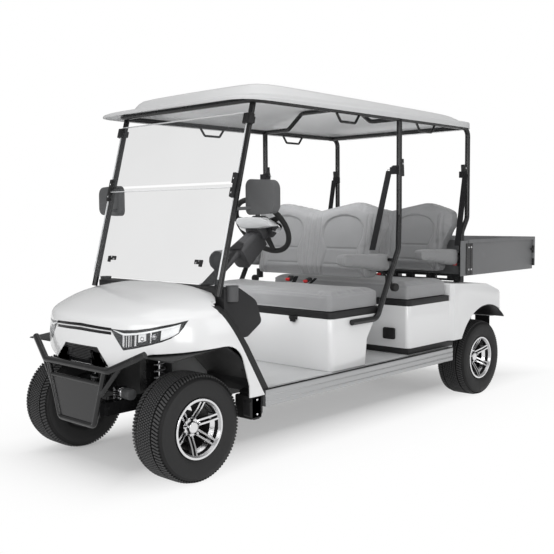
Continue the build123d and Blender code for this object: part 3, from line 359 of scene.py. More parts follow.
# %% Black steel, plastic and rubber
def powder_coat(name, colour, roughness, rubbed=1.9):
    """Powder coat on steel: a fine pebble, with lighter grey where it is rubbed."""
    finish = Finish(name, colour, roughness, Specular_IOR_Level=0.4)
    rub = finish.noise(14.0, 4.0).between(0.56, 0.75)
    finish.feed("Base Color", finish.mix(rub, colour, [c * rubbed + 0.004 for c in colour]))
    finish.feed("Roughness", rub * 0.12 + (roughness - 0.04))
    finish.bump(finish.noise(520.0, 2.0), 0.00012)


def grained(name, colour, roughness, grain=420.0):
    """Moulded plastic with a leather-like grain from its tool."""
    finish = Finish(name, colour, roughness, Specular_IOR_Level=0.3)
    cloud = finish.noise(6.0, 3.0)
    finish.feed("Base Color", finish.mix(cloud, colour, [c * 1.35 for c in colour]))
    finish.feed("Roughness", cloud * 0.14 + (roughness - 0.07))
    finish.bump(finish.cells(grain).between(0.0, 0.35), 0.00016)


powder_coat("black_steel", (0.009, 0.009, 0.0095), 0.27)
powder_coat("bed_grey", (0.150, 0.152, 0.156), 0.5, 1.15)
grained("black_plastic", (0.013, 0.013, 0.0135), 0.5)
grained("dash_plastic", (0.017, 0.017, 0.018), 0.55)
grained("black_rubber", (0.010, 0.010, 0.010), 0.66, 260.0)
grained("mirror_shell", (0.075, 0.076, 0.078), 0.48)
grained("pod_silver", (0.42, 0.425, 0.43), 0.30)
print("coats and plastics", ", ".join(list(FINISHES)[-7:]))

# %% Aluminium sills and bright metal
sill = Finish("sill_aluminium", (0.42, 0.425, 0.43), 0.38, Metallic=0.85)
brush = sill.noise(1.0, 3.0, sill.stretched(700.0, 5.0, 700.0))
sill.feed("Base Color", sill.mix(brush, (0.36, 0.365, 0.37), (0.50, 0.505, 0.51)))
sill.feed("Roughness", brush * 0.2 + 0.28)
sill.bump(brush, 0.00005)

bright = Finish("bright_metal", (0.72, 0.72, 0.73), 0.16, Metallic=1.0)
bright.feed("Roughness", bright.noise(60.0, 3.0) * 0.14 + 0.08)

steel = Finish("plain_steel", (0.30, 0.30, 0.31), 0.42, Metallic=0.9)
steel.feed("Roughness", steel.noise(45.0, 4.0) * 0.3 + 0.28)
steel.bump(steel.noise(300.0, 2.0), 0.00008)
print("metals", ", ".join(list(FINISHES)[-3:]))

# %% Floor mat
mat = Finish("floor_grey", (0.38, 0.385, 0.39), 0.62)
RIB_PITCH = 0.012
ribs = waves(mat.axes()[0], RIB_PITCH).between(0.2, 0.9)
scuff = mat.noise(5.0, 5.0)
mat.feed("Base Color", mat.mix(scuff, (0.40, 0.405, 0.41), (0.52, 0.525, 0.53)))
mat.feed("Roughness", scuff * 0.2 + 0.5)
mat.bump(ribs + mat.noise(300.0, 2.0) * 0.3, 0.0005)
print("mat ribs every", RIB_PITCH, "m")

# %% Vinyl
def vinyl(name, colour):
    """Sewn seat vinyl: soft creased grain and a broad, dry highlight."""
    finish = Finish(name, colour, 0.48, Sheen_Weight=0.15, Sheen_Roughness=0.5)
    grain = finish.cells(620.0).between(0.0, 0.3)
    cloud = finish.noise(7.0, 4.0)
    finish.feed("Base Color", finish.mix(cloud, [c * 0.9 for c in colour], [c * 1.12 for c in colour]))
    finish.feed("Roughness", cloud * 0.16 + 0.42)
    finish.bump(grain + finish.noise(28.0, 3.0) * 1.6, 0.00028)


vinyl("seat_vinyl", (0.205, 0.207, 0.211))
vinyl("cushion_vinyl", (0.268, 0.270, 0.276))
print("vinyls", ", ".join(list(FINISHES)[-2:]))

# %% Clear, red and lamp glass
glass = Finish("clear_glazing", (0.13, 0.135, 0.14), 0.04, IOR=1.49)
glass.feed("Alpha", glass.facing(0.35) * 0.18 + glass.noise(2.5, 3.0) * 0.03 + 0.06)

red = Finish("red_lens", (0.42, 0.012, 0.012), 0.12, Coat_Weight=0.6)
red.bump(waves(red.axes()[2], 0.006), 0.0004)

lens = Finish("lamp_lens", (0.55, 0.57, 0.59), 0.05, IOR=1.5, Coat_Weight=0.6)
lens.feed("Alpha", lens.facing(0.4) * 0.5 + 0.25)
print("glazing", ", ".join(list(FINISHES)[-3:]))

# %% Webbing
web = Finish("black_webbing", (0.012, 0.012, 0.013), 0.8, Specular_IOR_Level=0.2)
x, y, z = web.axes()
weave = waves(z + y * 0.4, 0.0022) * waves(x + y, 0.0016)
web.feed("Base Color", web.mix(weave.between(-1, 1), (0.007, 0.007, 0.008), (0.020, 0.020, 0.021)))
web.bump(weave, 0.0003)
print("finishes so far", len(FINISHES))

# %% [markdown]
# ## Wheel finishes
# A wheel's finish is laid out round its own axle, so each of the four places gets its own pair of
# materials whose sums start from that axle's place. The alloy's outward faces are machined bright,
# and its pockets are painted black.

# %% Where the wheels are
WHEELS = {}
for end in ("front", "rear"):
    for hand, side in (("left", 1), ("right", -1)):
        low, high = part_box(f"tyre_{end}_{hand}")
        WHEELS[f"{end}_{hand}"] = {"centre": (low + high) / 2, "side": side,
                                   "radius": (high.z - low.z) / 2}
for name, wheel in WHEELS.items():
    print(name, "axle at", [round(c, 4) for c in wheel["centre"]], "radius", round(wheel["radius"], 4))

# %% Tyre rubber
def round_axle(finish, wheel):
    """Distance outwards along the axle, and radius from it."""
    x, y, z = finish.axes()
    c = wheel["centre"]
    across = (x - c.x) * float(wheel["side"])
    rise, run = z - c.z, y - c.y
    return across, (rise * rise + run * run) ** 0.5


def tyre_rubber(name, wheel):
    """Painted shade down in the tread's channels and painted light on its block tops; fine rings on the
    side.
    """
    finish = Finish(f"tyre_rubber_{name}", (0.012, 0.012, 0.0125), 0.6, Specular_IOR_Level=0.35)
    across, radius = round_axle(finish, wheel)
    rings = waves(radius, 0.0052) * radius.between(0.214, 0.21)
    dust = finish.noise(24.0, 5.0)
    round_off = (abs(across) - 0.055).largest(0.0)
    proud = radius + round_off * round_off * 7.1 - wheel["radius"]
    # painted shade and light: the tread is near black deep in its channels and grey on its block tops
    lit_tops_shaded_channels = proud.between(-0.0052, -0.0012) * (abs(across) < 0.094)
    side = (radius < 0.222) * 0.28
    finish.feed("Base Color", finish.mix((lit_tops_shaded_channels + side) * (dust * 0.5 + 0.75), (0.0035, 0.0035, 0.0037),
                                         (0.052, 0.052, 0.053)))
    finish.feed("Roughness", dust * 0.2 + 0.52)
    finish.bump(rings * 0.25 + finish.noise(420.0, 2.0) * 0.4, 0.0006)


for name, wheel in WHEELS.items():
    tyre_rubber(name, wheel)

# %% Machined alloy
def alloy(name, wheel):
    finish = Finish(f"alloy_{name}", (0.7, 0.7, 0.71), 0.2, Metallic=1.0)
    across, radius = round_axle(finish, wheel)
    normal = finish.node("ShaderNodeNewGeometry", out="Normal")
    outward = finish.axes(normal)[0] * float(wheel["side"])
    machined = outward.between(0.35, 0.6) * (across > 0.028)
    finish.feed("Base Color", finish.mix(machined, (0.012, 0.012, 0.013), (0.74, 0.74, 0.75)))
    finish.feed("Metallic", machined)
    finish.feed("Roughness", finish.noise(80.0, 3.0) * 0.1 + (1.0 - machined) * 0.2 + 0.13)
    finish.bump(waves(radius, 0.0009) * machined, 0.00002)


for name, wheel in WHEELS.items():
    alloy(name, wheel)
print("wheel finishes", [label for label in FINISHES if label.startswith(("tyre_rubber", "alloy"))])

# %% [markdown]
# ## Dressing the frame
# Parts whose shape is already right keep it, and only take a finish. The record's slot names say
# which, and a few parts are set apart from their slot.

# %% Finishes on the frame
SLOT_OF = {row["node"]: row["material_slot"] for row in frame["record"]["subparts"]}
OWN_FINISH = {"dashboard": "dash_plastic", "steering_column": "dash_plastic", "mirrors": "mirror_shell"}
for name in WHEELS:
    OWN_FINISH[f"tyre_{name}"] = f"tyre_rubber_{name}"
    OWN_FINISH[f"rim_{name}"] = f"alloy_{name}"
for node, thing in frame["nodes"].items():
    thing.data.materials.clear()
    thing.data.materials.append(FINISHES[OWN_FINISH.get(node, SLOT_OF[node])])
print("dressed", len(frame["nodes"]), "parts,", len(OWN_FINISH), "of them with a finish of their own")

# %% [markdown]
# ## Making a piece
# A few small helpers serve every piece below. `rounded` turns a short table of corners into an
# outline with arcs, `prism` pulls such an outline along an axis, `flat_rings` closes a form made
# of rings, `made` turns points and faces into an object that rides on a body, and `settled`
# applies modifiers to the mesh itself.

# %% Outlines with arcs
def rounded(rows, steps=6):
    """Corners as u, v, radius, to the points of an outline with an arc at each corner."""
    points = []
    for i, (u, v, r) in enumerate(rows):
        here = Vector((u, v))
        if not r:
            points.append(here)
            continue
        before = (Vector(rows[i - 1][:2]) - here).normalized()
        after = (Vector(rows[(i + 1) % len(rows)][:2]) - here).normalized()
        half = before.angle(after) / 2
        centre = here + (before + after).normalized() * (r / math.sin(half))
        start, end = (here + d * (r / math.tan(half)) - centre for d in (before, after))
        turn = start.angle_signed(end)
        for k in range(steps + 1):
            points.append(centre + Matrix.Rotation(-turn * k / steps, 2) @ start)
    return points


def prism(rows, axis, low, high):
    """Points and faces of an outline pulled along X, Y or Z; u and v are the other two axes."""
    outline = rounded(rows)
    n = len(outline)
    place = {"X": lambda u, v, w: (w, u, v), "Y": lambda u, v, w: (u, w, v),
             "Z": lambda u, v, w: (u, v, w)}[axis]
    verts = [place(p.x, p.y, w) for w in (low, high) for p in outline]
    faces = [[i, (i + 1) % n, n + (i + 1) % n, n + i] for i in range(n)]
    return verts, faces + [list(range(n)), list(range(n, 2 * n))]


print("a round corner has", len(rounded([(0, 0, 0), (1, 0, 0), (1, 1, 0.2), (0, 1, 0)])) - 3, "points")

# %% Forms made of rings
def circle(steps, ahead=0.0):
    """Cosine and sine of equal steps round a circle; ahead turns it by a part of a step."""
    turns = [math.tau * (k + ahead) / steps for k in range(steps)]
    return [(math.cos(turn), math.sin(turn)) for turn in turns]


def strips(rings, close=True):
    """Faces between rings of points that all have one length."""
    n = len(rings[0])
    last = n if close else n - 1
    return [[a * n + i, a * n + (i + 1) % n, (a + 1) * n + (i + 1) % n, (a + 1) * n + i]
            for a in range(len(rings) - 1) for i in range(last)]


def flat_rings(rings, closed=False):
    """Points and faces of rings, with the last ring joined to the first or both ends filled."""
    n = len(rings[0])
    faces = strips(rings + rings[:1]) if closed else strips(rings)
    if closed:
        last = len(rings) * n
        faces = [[i % last for i in face] for face in faces]
    else:
        faces += [list(range(n)), list(range(len(rings) * n - n, len(rings) * n))]
    return [p for ring in rings for p in ring], faces


print("faces between two rings of six points", len(strips([circle(6), circle(6)])))

# %% Objects and their modifiers
def smooth(thing, sharp=40.0):
    """Faces outwards, and smooth shading up to an angle."""
    work = bmesh.new()
    work.from_mesh(thing.data)
    bmesh.ops.recalc_face_normals(work, faces=work.faces[:])
    work.to_mesh(thing.data)
    work.free()
    thing.data.shade_smooth()
    thing.data.set_sharp_from_angle(angle=math.radians(sharp))


def made(name, verts, faces, finish, slot, body="chassis", sharp=40.0):
    """A piece from points and faces. Without a slot it is only a tool and rides on nothing."""
    mesh = bpy.data.meshes.new(name)
    mesh.from_pydata([tuple(v) for v in verts], [], faces)
    thing = bpy.data.objects.new(name, mesh)
    scene.collection.objects.link(thing)
    mesh.materials.append(FINISHES[finish])
    smooth(thing, sharp)
    if slot:
        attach(thing, body)
    return thing


def settled(thing, sharp=40.0):
    """Applies the modifiers."""
    graph = bpy.context.evaluated_depsgraph_get()
    mesh = bpy.data.meshes.new_from_object(thing.evaluated_get(graph), depsgraph=graph)
    thing.modifiers.clear()
    thing.data = mesh
    smooth(thing, sharp)
    return thing


def round_edges(thing, width, segments, angle):
    """A bevel on every edge that is sharper than an angle."""
    edge = thing.modifiers.new("edge", "BEVEL")
    edge.width, edge.segments, edge.limit_method = width, segments, "ANGLE"
    edge.angle_limit = math.radians(angle)


def cut(thing, cutters, width):
    """Takes closed prisms out of a closed piece, and rounds the edges that are left."""
    for k, (verts, faces) in enumerate(cutters):
        tool = made(f"tool_{k}", verts, faces, "body_white", None)
        difference = thing.modifiers.new("cut", "BOOLEAN")
        difference.operation, difference.object, difference.solver = "DIFFERENCE", tool, "EXACT"
        settled(thing)
        bpy.data.objects.remove(tool)
    round_edges(thing, width, 2, 35.0)
    return settled(thing)


# %% Rules for heights
def table(rows):
    """A smooth function through rows of input and value that never overshoots them."""
    xs, ys = [r[0] for r in rows], [r[1] for r in rows]
    slopes = [(b - a) / (d - c) for a, b, c, d in zip(ys, ys[1:], xs, xs[1:])]
    ends = [slopes[0]] + [0.0 if a * b <= 0 else 2 * a * b / (a + b) for a, b in zip(slopes, slopes[1:])]
    ends.append(slopes[-1])

    def value(x):
        x = min(max(x, xs[0]), xs[-1])
        k = next(i for i in range(len(xs) - 1) if x <= xs[i + 1])
        h = xs[k + 1] - xs[k]
        t = (x - xs[k]) / h
        return (ys[k] * (1 + 2 * t) * (1 - t) ** 2 + ends[k] * h * t * (1 - t) ** 2
                + ys[k + 1] * t * t * (3 - 2 * t) + ends[k + 1] * h * t * t * (t - 1))
    return value


def soft_least(a, b, blend):
    """The smaller of two values, with the corner between them rounded."""
    h = min(max(0.5 + 0.5 * (b - a) / blend, 0.0), 1.0)
    return b * (1 - h) + a * h - blend * h * (1 - h)


print("least of 1 and 1, rounded over 0.1:", soft_least(1.0, 1.0, 0.1))

# %% [markdown]
# ## The front cowl
# A moulded cowl is easiest to get right as a rule, not as a net of hand-placed points. In plan its
# outline is a superellipse, flat across the nose and round at the corners. Two short tables say
# how high the surface is at a given distance in from the side and back from the nose, and the
# lower of the two wins, with its corner rounded, which leaves the soft shoulder crease that runs
# back from the lamps. The wheel arches, lamp openings and door edges are then cut out of a shell.

# %% The cowl as a rule
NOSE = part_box("front_cowl")[0].y
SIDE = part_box("front_cowl")[1].x
HOOD_END = NOSE + 0.460
PLAN_DEPTH = 0.470
ACROSS_POWER, BACK_POWER = 2.6, 2.2
SHOULDER_BLEND = 0.024
side_height = table([(0.0, 0.600), (0.004, 0.650), (0.010, 0.690), (0.022, 0.735), (0.040, 0.772),
                     (0.072, 0.800), (0.115, 0.822), (0.200, 0.848), (0.300, 0.866), (0.450, 0.881),
                     (0.600, 0.887)])
nose_height = table([(0.0, 0.600), (0.0015, 0.650), (0.004, 0.700), (0.012, 0.730), (0.030, 0.750),
                     (0.090, 0.780), (0.190, 0.818), (0.330, 0.858), (0.460, 0.889)])


def hood(x, back):
    """Height of the cowl's skin at x, a distance back from the nose; nothing below the shoulder."""
    x = min(abs(x), SIDE)
    turn = max(0.0, 1 - back / PLAN_DEPTH)
    half = SIDE * (1 - min(turn, 1.0) ** BACK_POWER) ** (1 / ACROSS_POWER)
    front = PLAN_DEPTH * (1 - (1 - (x / SIDE) ** ACROSS_POWER) ** (1 / BACK_POWER))
    return soft_least(side_height(half - x), nose_height(back - front), SHOULDER_BLEND)


print("hood height at the nose", round(hood(0.0, 0.02), 3), "and at its end", round(hood(0.0, 0.46), 3))

# %% The cowl's shell
INSETS = (0.0, 0.002, 0.005, 0.010, 0.016, 0.024, 0.034, 0.047, 0.063, 0.083, 0.110, 0.145, 0.190,
          0.245, 0.310, 0.385, 0.460, 0.530, 0.580)
SKIRT_HEIGHTS = (0.34, 0.40, 0.46, 0.51, 0.55, 0.58)
SHEET = 0.006


def cowl_outline(count):
    """The plan outline from the left door edge, round the nose, to the right door edge."""
    points = [(SIDE, 0.650 - 0.030 * k) for k in range(6)]
    for k in range(count + 1):
        angle = math.pi * k / count
        c, s = math.cos(angle), math.sin(angle)
        points.append((math.copysign(SIDE * abs(c) ** (2 / ACROSS_POWER), c),
                       PLAN_DEPTH * (1 - abs(s) ** (2 / BACK_POWER))))
    return points + [(-x, back) for x, back in reversed(points[:6])]


outline = cowl_outline(96)
rings = [[(x, NOSE + back, z) for x, back in outline] for z in SKIRT_HEIGHTS]
for inset in INSETS:
    s = 1 - inset / SIDE
    rings.append([(x * s, NOSE + PLAN_DEPTH + (back - PLAN_DEPTH) * s,
                   hood(x * s, PLAN_DEPTH + (back - PLAN_DEPTH) * s)) for x, back in outline])
cowl = made("cowl_shell", [p for ring in rings for p in ring], strips(rings, close=False),
            "body_white", "body_white", sharp=60.0)
shell = cowl.modifiers.new("wall", "SOLIDIFY")
shell.thickness, shell.offset, shell.use_even_offset = SHEET, -1.0, True
settled(cowl, 60.0)
print("shell of", len(rings), "rings,", SHEET, "m thick,", len(cowl.data.polygons), "faces")

# %% [markdown]
# The cuts follow the same lines as the frame's, so that the lamps, liners and door strips meet
# their openings. Each is a closed prism taken out of the shell: the door and the hood's rear edge
# first, then the arch, the chin and the openings in the nose. Two more trim the shell's rear
# corner, where the hood curves down behind the screen's foot.

# %% Outlines of the openings
TYRE_BACK = WHEELS["front_left"]["centre"].y + WHEELS["front_left"]["radius"]
DOOR_FOOT, DOOR_HEAD = (TYRE_BACK + 0.1125, 0.357), (HOOD_END, 0.634)
BELOW, ABOVE, BEHIND, AHEAD = 0.2, 1.0, HOOD_END + 0.5, NOSE - 0.1
TRIM_SIDE, PAST_SIDE = 0.520, 0.700
run = (DOOR_FOOT[0] - DOOR_HEAD[0]) / (DOOR_HEAD[1] - DOOR_FOOT[1])
DOOR = [(DOOR_FOOT[0] + (DOOR_FOOT[1] - BELOW) * run, BELOW, 0),
        (DOOR_HEAD[0] - (ABOVE - DOOR_HEAD[1]) * run, ABOVE, 0), (BEHIND, ABOVE, 0), (BEHIND, BELOW, 0)]
REAR_EDGE = [(HOOD_END, BELOW, 0), (HOOD_END, ABOVE, 0), (BEHIND, ABOVE, 0), (BEHIND, BELOW, 0)]
LOWER_EDGE = [(AHEAD, BELOW, 0), (AHEAD, 0.357, 0), (HOOD_END + 0.3, 0.357, 0), (HOOD_END + 0.3, BELOW, 0)]
CORNER = [(HOOD_END + 0.002, 0.660, 0), (HOOD_END + 0.2, 0.660, 0), (HOOD_END + 0.2, 0.900, 0),
          (HOOD_END - 0.079, 0.900, 0), (HOOD_END - 0.079, 0.795, 0), (HOOD_END - 0.045, 0.774, 0)]
REAR_CURVE = [(0.405, HOOD_END + 0.004, 0), (0.470, HOOD_END - 0.030, 0), (0.505, HOOD_END - 0.060, 0),
              (0.518, HOOD_END - 0.078, 0), (0.700, HOOD_END - 0.078, 0), (0.700, HOOD_END + 0.2, 0),
              (0.405, HOOD_END + 0.2, 0)]
ARCH = [(NOSE + 0.070, 0.10, 0), (NOSE + 0.070, 0.596, 0.03), (TYRE_BACK - 0.0515, 0.624, 0.11),
        (TYRE_BACK + 0.0125, 0.412, 0.05), (TYRE_BACK + 0.0125, 0.10, 0)]
LAMP = [(0.215, 0.7035, 0), (0.289, 0.609, 0.004), (0.348, 0.6215, 0), (0.411, 0.6385, 0),
        (0.453, 0.653, 0), (0.479, 0.667, 0), (0.5015, 0.689, 0), (0.511, 0.7155, 0), (0.515, 0.746, 0),
        (0.484, 0.7335, 0), (0.4454, 0.7238, 0), (0.4018, 0.713, 0), (0.348, 0.7045, 0), (0.287, 0.701, 0)]
BAR = [(0.222, 0.676, 0), (0.222, 0.707, 0), (0.0, 0.714, 0), (-0.222, 0.707, 0), (-0.222, 0.676, 0),
       (0.0, 0.680, 0)]
GRILLE = [(0.131, 0.612, 0), (0.206, 0.528, 0), (-0.206, 0.528, 0), (-0.131, 0.612, 0)]
CHIN = [(0.206, 0.523, 0), (0.452, 0.600, 0), (0.70, 0.600, 0), (0.70, 0.20, 0), (-0.70, 0.20, 0),
        (-0.70, 0.600, 0), (-0.452, 0.600, 0), (-0.206, 0.523, 0)]
print("door edge from", [round(v, 3) for v in DOOR_FOOT], "to", [round(v, 3) for v in DOOR_HEAD])

# %% Cutting the openings
def flipped(rows):
    return [(-u, v, r) for u, v, r in reversed(rows)]


cut(cowl, [prism(DOOR, "X", side * TRIM_SIDE, side * PAST_SIDE) for side in (-1, 1)]
    + [prism(REAR_EDGE, "X", -0.5205, 0.5205), prism(LOWER_EDGE, "X", -PAST_SIDE, PAST_SIDE),
       prism(ARCH, "X", -PAST_SIDE, PAST_SIDE), prism(CHIN, "Y", AHEAD, NOSE + 0.071),
       prism(LAMP, "Y", AHEAD, NOSE + 0.36), prism(flipped(LAMP), "Y", AHEAD, NOSE + 0.36),
       prism(REAR_CURVE, "Z", 0.799, ABOVE), prism(flipped(REAR_CURVE), "Z", 0.799, ABOVE),
       prism(CORNER, "X", 0.500, PAST_SIDE), prism(CORNER, "X", -PAST_SIDE, -0.500),
       prism(BAR, "Y", AHEAD, NOSE + 0.1), prism(GRILLE, "Y", AHEAD, NOSE + 0.1)],
    width=0.0015)
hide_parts("front_cowl")
print("cowl faces", len(cowl.data.polygons))

# %% [markdown]
# ## The roof
# The roof is one sheet pressed into a low crown with a brim round it, wider at the front as a
# visor. A plain slab with a bevel would lose the step between brim and crown, so it is built from
# rings: each row gives how far the ring stands in from the sides, the front and the rear, and its
# height at the front, middle and rear. The same rings a few millimetres in and down make the
# lining, so the sheet closes as one solid at its edge.

# %% Roof rings
ROOF_LOW, ROOF_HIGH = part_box("roof_panel")
ROOF_MIDDLE = (ROOF_LOW.y + ROOF_HIGH.y) / 2
ROOF_SHEET, ROOF_EDGE = 0.006, 0.005
FRONT_BOW, REAR_BOW = 0.020, 0.010
ROOF_ROWS = [
    (0.000, 0.000, 0.000, 1.7470, 1.7470, 1.7470), (0.000, 0.000, 0.000, 1.7570, 1.7680, 1.7770),
    (0.004, 0.003, 0.003, 1.7620, 1.7755, 1.7850), (0.030, 0.030, 0.020, 1.7720, 1.7860, 1.7900),
    (0.055, 0.120, 0.030, 1.7840, 1.7970, 1.7940), (0.066, 0.150, 0.036, 1.7880, 1.8030, 1.7980),
    (0.074, 0.160, 0.040, 1.7950, 1.8110, 1.8040), (0.095, 0.185, 0.052, 1.8330, 1.8280, 1.8130),
    (0.106, 0.200, 0.060, 1.8460, 1.8360, 1.8200), (0.130, 0.225, 0.080, 1.8540, 1.8450, 1.8290),
    (0.200, 0.290, 0.150, 1.8600, 1.8560, 1.8400), (0.300, 0.390, 0.260, 1.8660, 1.8650, 1.8520),
    (0.430, 0.560, 0.430, 1.8700, 1.8720, 1.8630), (0.540, 0.800, 0.700, 1.8740, 1.8750, 1.8710)]


def roof_ring(row, grow=0.0, drop=0.0, steps=112, power=14.0):
    """One closed ring: a superellipse, which has no flat spots and no kinks at its corners."""
    side, front, rear, low, mid, high = row
    half = ROOF_HIGH.x - side - grow
    near, far = ROOF_LOW.y + front + grow, ROOF_HIGH.y - rear - grow
    rise = table([(ROOF_LOW.y, low), (ROOF_MIDDLE, mid), (ROOF_HIGH.y, high)])
    ring = []
    for c, s in circle(steps, 0.5):
        size = (abs(c) ** power + abs(s) ** power) ** (-1 / power)
        x, y = half * c * size, (near + far) / 2 + (far - near) / 2 * s * size
        bow = (FRONT_BOW if y < ROOF_MIDDLE else REAR_BOW) * (x / half) ** 2
        y += bow * (1 if y < ROOF_MIDDLE else -1) * abs(y - ROOF_MIDDLE) / (far - ROOF_MIDDLE)
        ring.append((x, y, rise(y) - drop))
    return ring


outer = [roof_ring(row) for row in ROOF_ROWS]
inner = [roof_ring(row, ROOF_EDGE, ROOF_SHEET if i else 0.0) for i, row in enumerate(ROOF_ROWS)]
roof = made("roof_shell", *flat_rings(outer[::-1] + inner), "roof_grey", "roof_grey", sharp=50.0)
roof.data.materials.append(FINISHES["roof_lining"])
for face in roof.data.polygons:
    if min(face.vertices) >= len(outer) * len(outer[0]):
        face.material_index = 1
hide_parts("roof_panel")
print("roof faces", len(roof.data.polygons), "from", len(outer) + len(inner), "rings")

# %% [markdown]
# ## Softer edges on moulded parts
# A real moulding has no knife edges, and folded steel has only small ones. For parts that are
# right but for that, a copy has its loose triangles merged back into flat faces, and every hard
# edge gets a small round. Modelling the rounds in the frame would cost more and look the same.

# %% Rounded copies
def merged(node):
    """A CAD node's mesh with its points joined and its flat faces whole."""
    work = bmesh.new()
    work.from_mesh(frame["nodes"][node].data)
    bmesh.ops.remove_doubles(work, verts=work.verts[:], dist=0.00002)
    bmesh.ops.dissolve_limit(work, angle_limit=math.radians(0.6), use_dissolve_boundaries=False,
                             verts=work.verts[:], edges=work.edges[:])
    mesh = bpy.data.meshes.new(node)
    work.to_mesh(mesh)
    work.free()
    return mesh


def copy_of(node, name, finish):
    """A new object from a CAD node's merged mesh, with one finish."""
    thing = bpy.data.objects.new(name, merged(node))
    scene.collection.objects.link(thing)
    thing.data.materials.clear()
    thing.data.materials.append(FINISHES[finish])
    return thing


def softened(node, width):
    thing = copy_of(node, f"{node}_soft", OWN_FINISH.get(node, SLOT_OF[node]))
    round_edges(thing, width, 2, 28.0)
    settled(thing, 45.0)
    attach(thing, body_of(frame["nodes"][node])[0])
    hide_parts(node)
    return thing


for node, width in (("front_seat_base", 0.006), ("rear_body", 0.005), ("seat_trays", 0.003),
                    ("dashboard", 0.005), ("body_trims", 0.003), ("mirrors", 0.006),
                    ("steering_column", 0.003), ("cargo_bed", 0.0015), ("tailgate", 0.0015),
                    ("front_wheel_liners", 0.003), ("floor_deck", 0.003), ("side_sills", 0.0012),
                    ("charging_socket", 0.002)):
    print(node, "faces", len(softened(node, width).data.polygons))

# %% [markdown]
# ## Seats
# A seat is foam under stretched vinyl. Each pad starts as the frame's plain solid, remeshed evenly
# and drawn in a little, and a cloth simulation with pressure inside swells it. A cap on how far
# a point may move, less where the pad rests on something, keeps it in its space. Sculpting would
# give the same softness but not the same pad twice. The seams and sewn channels come last, as
# grooves pressed into the finished surface.

# %% Swelling a pad
FOAM_STEPS = 20
PRESSURE = 4.0
SHARE_OF_SHRINK = 0.9


def blown_up(thing):
    """Where the points of a closed skin go in a short cloth simulation with pressure inside."""
    cloth = thing.modifiers.new("foam", "CLOTH")
    cloth.settings.use_pressure = True
    cloth.settings.uniform_pressure_force = PRESSURE
    cloth.settings.effector_weights.gravity = 0.0
    cloth.settings.quality = 4
    cloth.collision_settings.use_collision = False
    cloth.point_cache.frame_start, cloth.point_cache.frame_end = 1, FOAM_STEPS
    for step in range(1, FOAM_STEPS + 1):
        scene.frame_set(step)
    graph = bpy.context.evaluated_depsgraph_get()
    places = [v.co.copy() for v in thing.evaluated_get(graph).data.vertices]
    thing.modifiers.clear()
    return places


def swollen(name, node, finish, voxel, shrink, cap, share):
    """share says, from a start normal and place, how much of the cap a point gets."""
    thing = copy_of(node, name, finish)
    remesh = thing.modifiers.new("even", "REMESH")
    remesh.mode, remesh.voxel_size = "VOXEL", voxel
    settled(thing)
    mesh = thing.data
    places = [v.co - v.normal * shrink for v in mesh.vertices]
    for v, p in zip(mesh.vertices, places):
        v.co = p
    mesh.update()
    start = [(v.co.copy(), v.normal.copy()) for v in mesh.vertices]
    blown = blown_up(thing)
    for v, (p, n), q in zip(mesh.vertices, start, blown):
        move = q - p
        room = shrink * SHARE_OF_SHRINK + cap * share(n, p)
        if move.length > 1e-9:
            move *= room * math.tanh(move.length / room) / move.length
        v.co = p + move
    relax = thing.modifiers.new("relax", "SMOOTH")
    relax.factor, relax.iterations = 0.5, 4
    fine = thing.modifiers.new("fine", "SUBSURF")
    fine.levels = fine.render_levels = 1
    settled(thing, 180.0)
    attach(thing, "chassis")
    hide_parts(node)
    print(name, "points", len(thing.data.vertices))
    return thing


# %% Cushions, backrests and armrests
cushions = swollen("seat_cushion_pads", "seat_cushions", "cushion_vinyl", 0.0081, 0.004, 0.020,
                   lambda n, p: 0.0 if n.z < -0.5 else 1.0 if n.z > 0.5 else 0.3)
backs = swollen("backrest_pads", "backrests", "seat_vinyl", 0.0081, 0.006, 0.018,
                lambda n, p: 1.0 if n.y < -0.4 else 0.10 if n.y > 0.4 else 0.35)
rests = swollen("armrest_pads", "armrests", "seat_vinyl", 0.0075, 0.002, 0.012, lambda n, p: 0.8)

# %% [markdown]
# Each backrest has two seats side by side. A seat has a sunk panel with a round head and a waist,
# two sewn lines across it, and long lines beside it that mark its bolsters. A thread groove is a
# bell curve of the distance from its line, so it has no edge that the mesh could miss.

# %% Pressing grooves in
def smoothstep(low, high, value):
    t = min(max((value - low) / (high - low), 0.0), 1.0)
    return t * t * (3 - 2 * t)


def line(distance, width):
    return math.exp(-(distance / width) ** 2)


def pressed(thing, depth):
    """Presses grooves in: depth gives, from a place and a normal, how far a point goes in."""
    mesh = thing.data
    mesh.update()
    moves = [(v.index, v.normal * -depth(v.co, v.normal)) for v in mesh.vertices]
    for index, move in moves:
        mesh.vertices[index].co += move
    mesh.update()
    smooth(thing, 180.0)
    print(thing.name, "pressed by up to", round(max(move.length for _, move in moves), 4), "m")


# %% The backrests' panels and seams
SEAT_MIDDLE = 0.232
PANEL_TOP = 1.203
STITCH = 0.0055
UPRIGHT_SEAMS = ((0.022, 0.006), (0.058, 0.006), (0.408, 0.007), (0.445, 0.006))
CROSS_SEAMS = (1.012, 0.918)
panel_half = table([(0.82, 0.150), (0.86, 0.146), (0.94, 0.126), (1.00, 0.116), (1.04, 0.130),
                    (1.09, 0.147), (1.13, 0.143), (1.16, 0.128), (1.18, 0.108), (1.195, 0.080),
                    (1.204, 0.045)])


def back_depth(p, n):
    face = smoothstep(0.25, 0.65, -n.y)
    if not face:
        return 0.0
    z, across = p.z, abs(abs(p.x) - SEAT_MIDDLE)
    inside = soft_least(panel_half(z) - across, PANEL_TOP - z, 0.03)
    low_fade, high_fade = smoothstep(0.835, 0.87, z), 1 - smoothstep(1.17, 1.235, z)
    depth = 0.009 * smoothstep(-0.012, 0.014, inside) + 0.006 * line(inside, 0.0065)
    depth += smoothstep(0.0, 0.01, inside) * sum(STITCH * line(z - seam, 0.0055) for seam in CROSS_SEAMS)
    for place, width in UPRIGHT_SEAMS:
        depth += STITCH * line(abs(p.x) - place, width) * high_fade
    depth -= 0.006 * line(abs(p.x) - 0.427, 0.012) * high_fade
    return depth * low_fade * face


pressed(backs, back_depth)

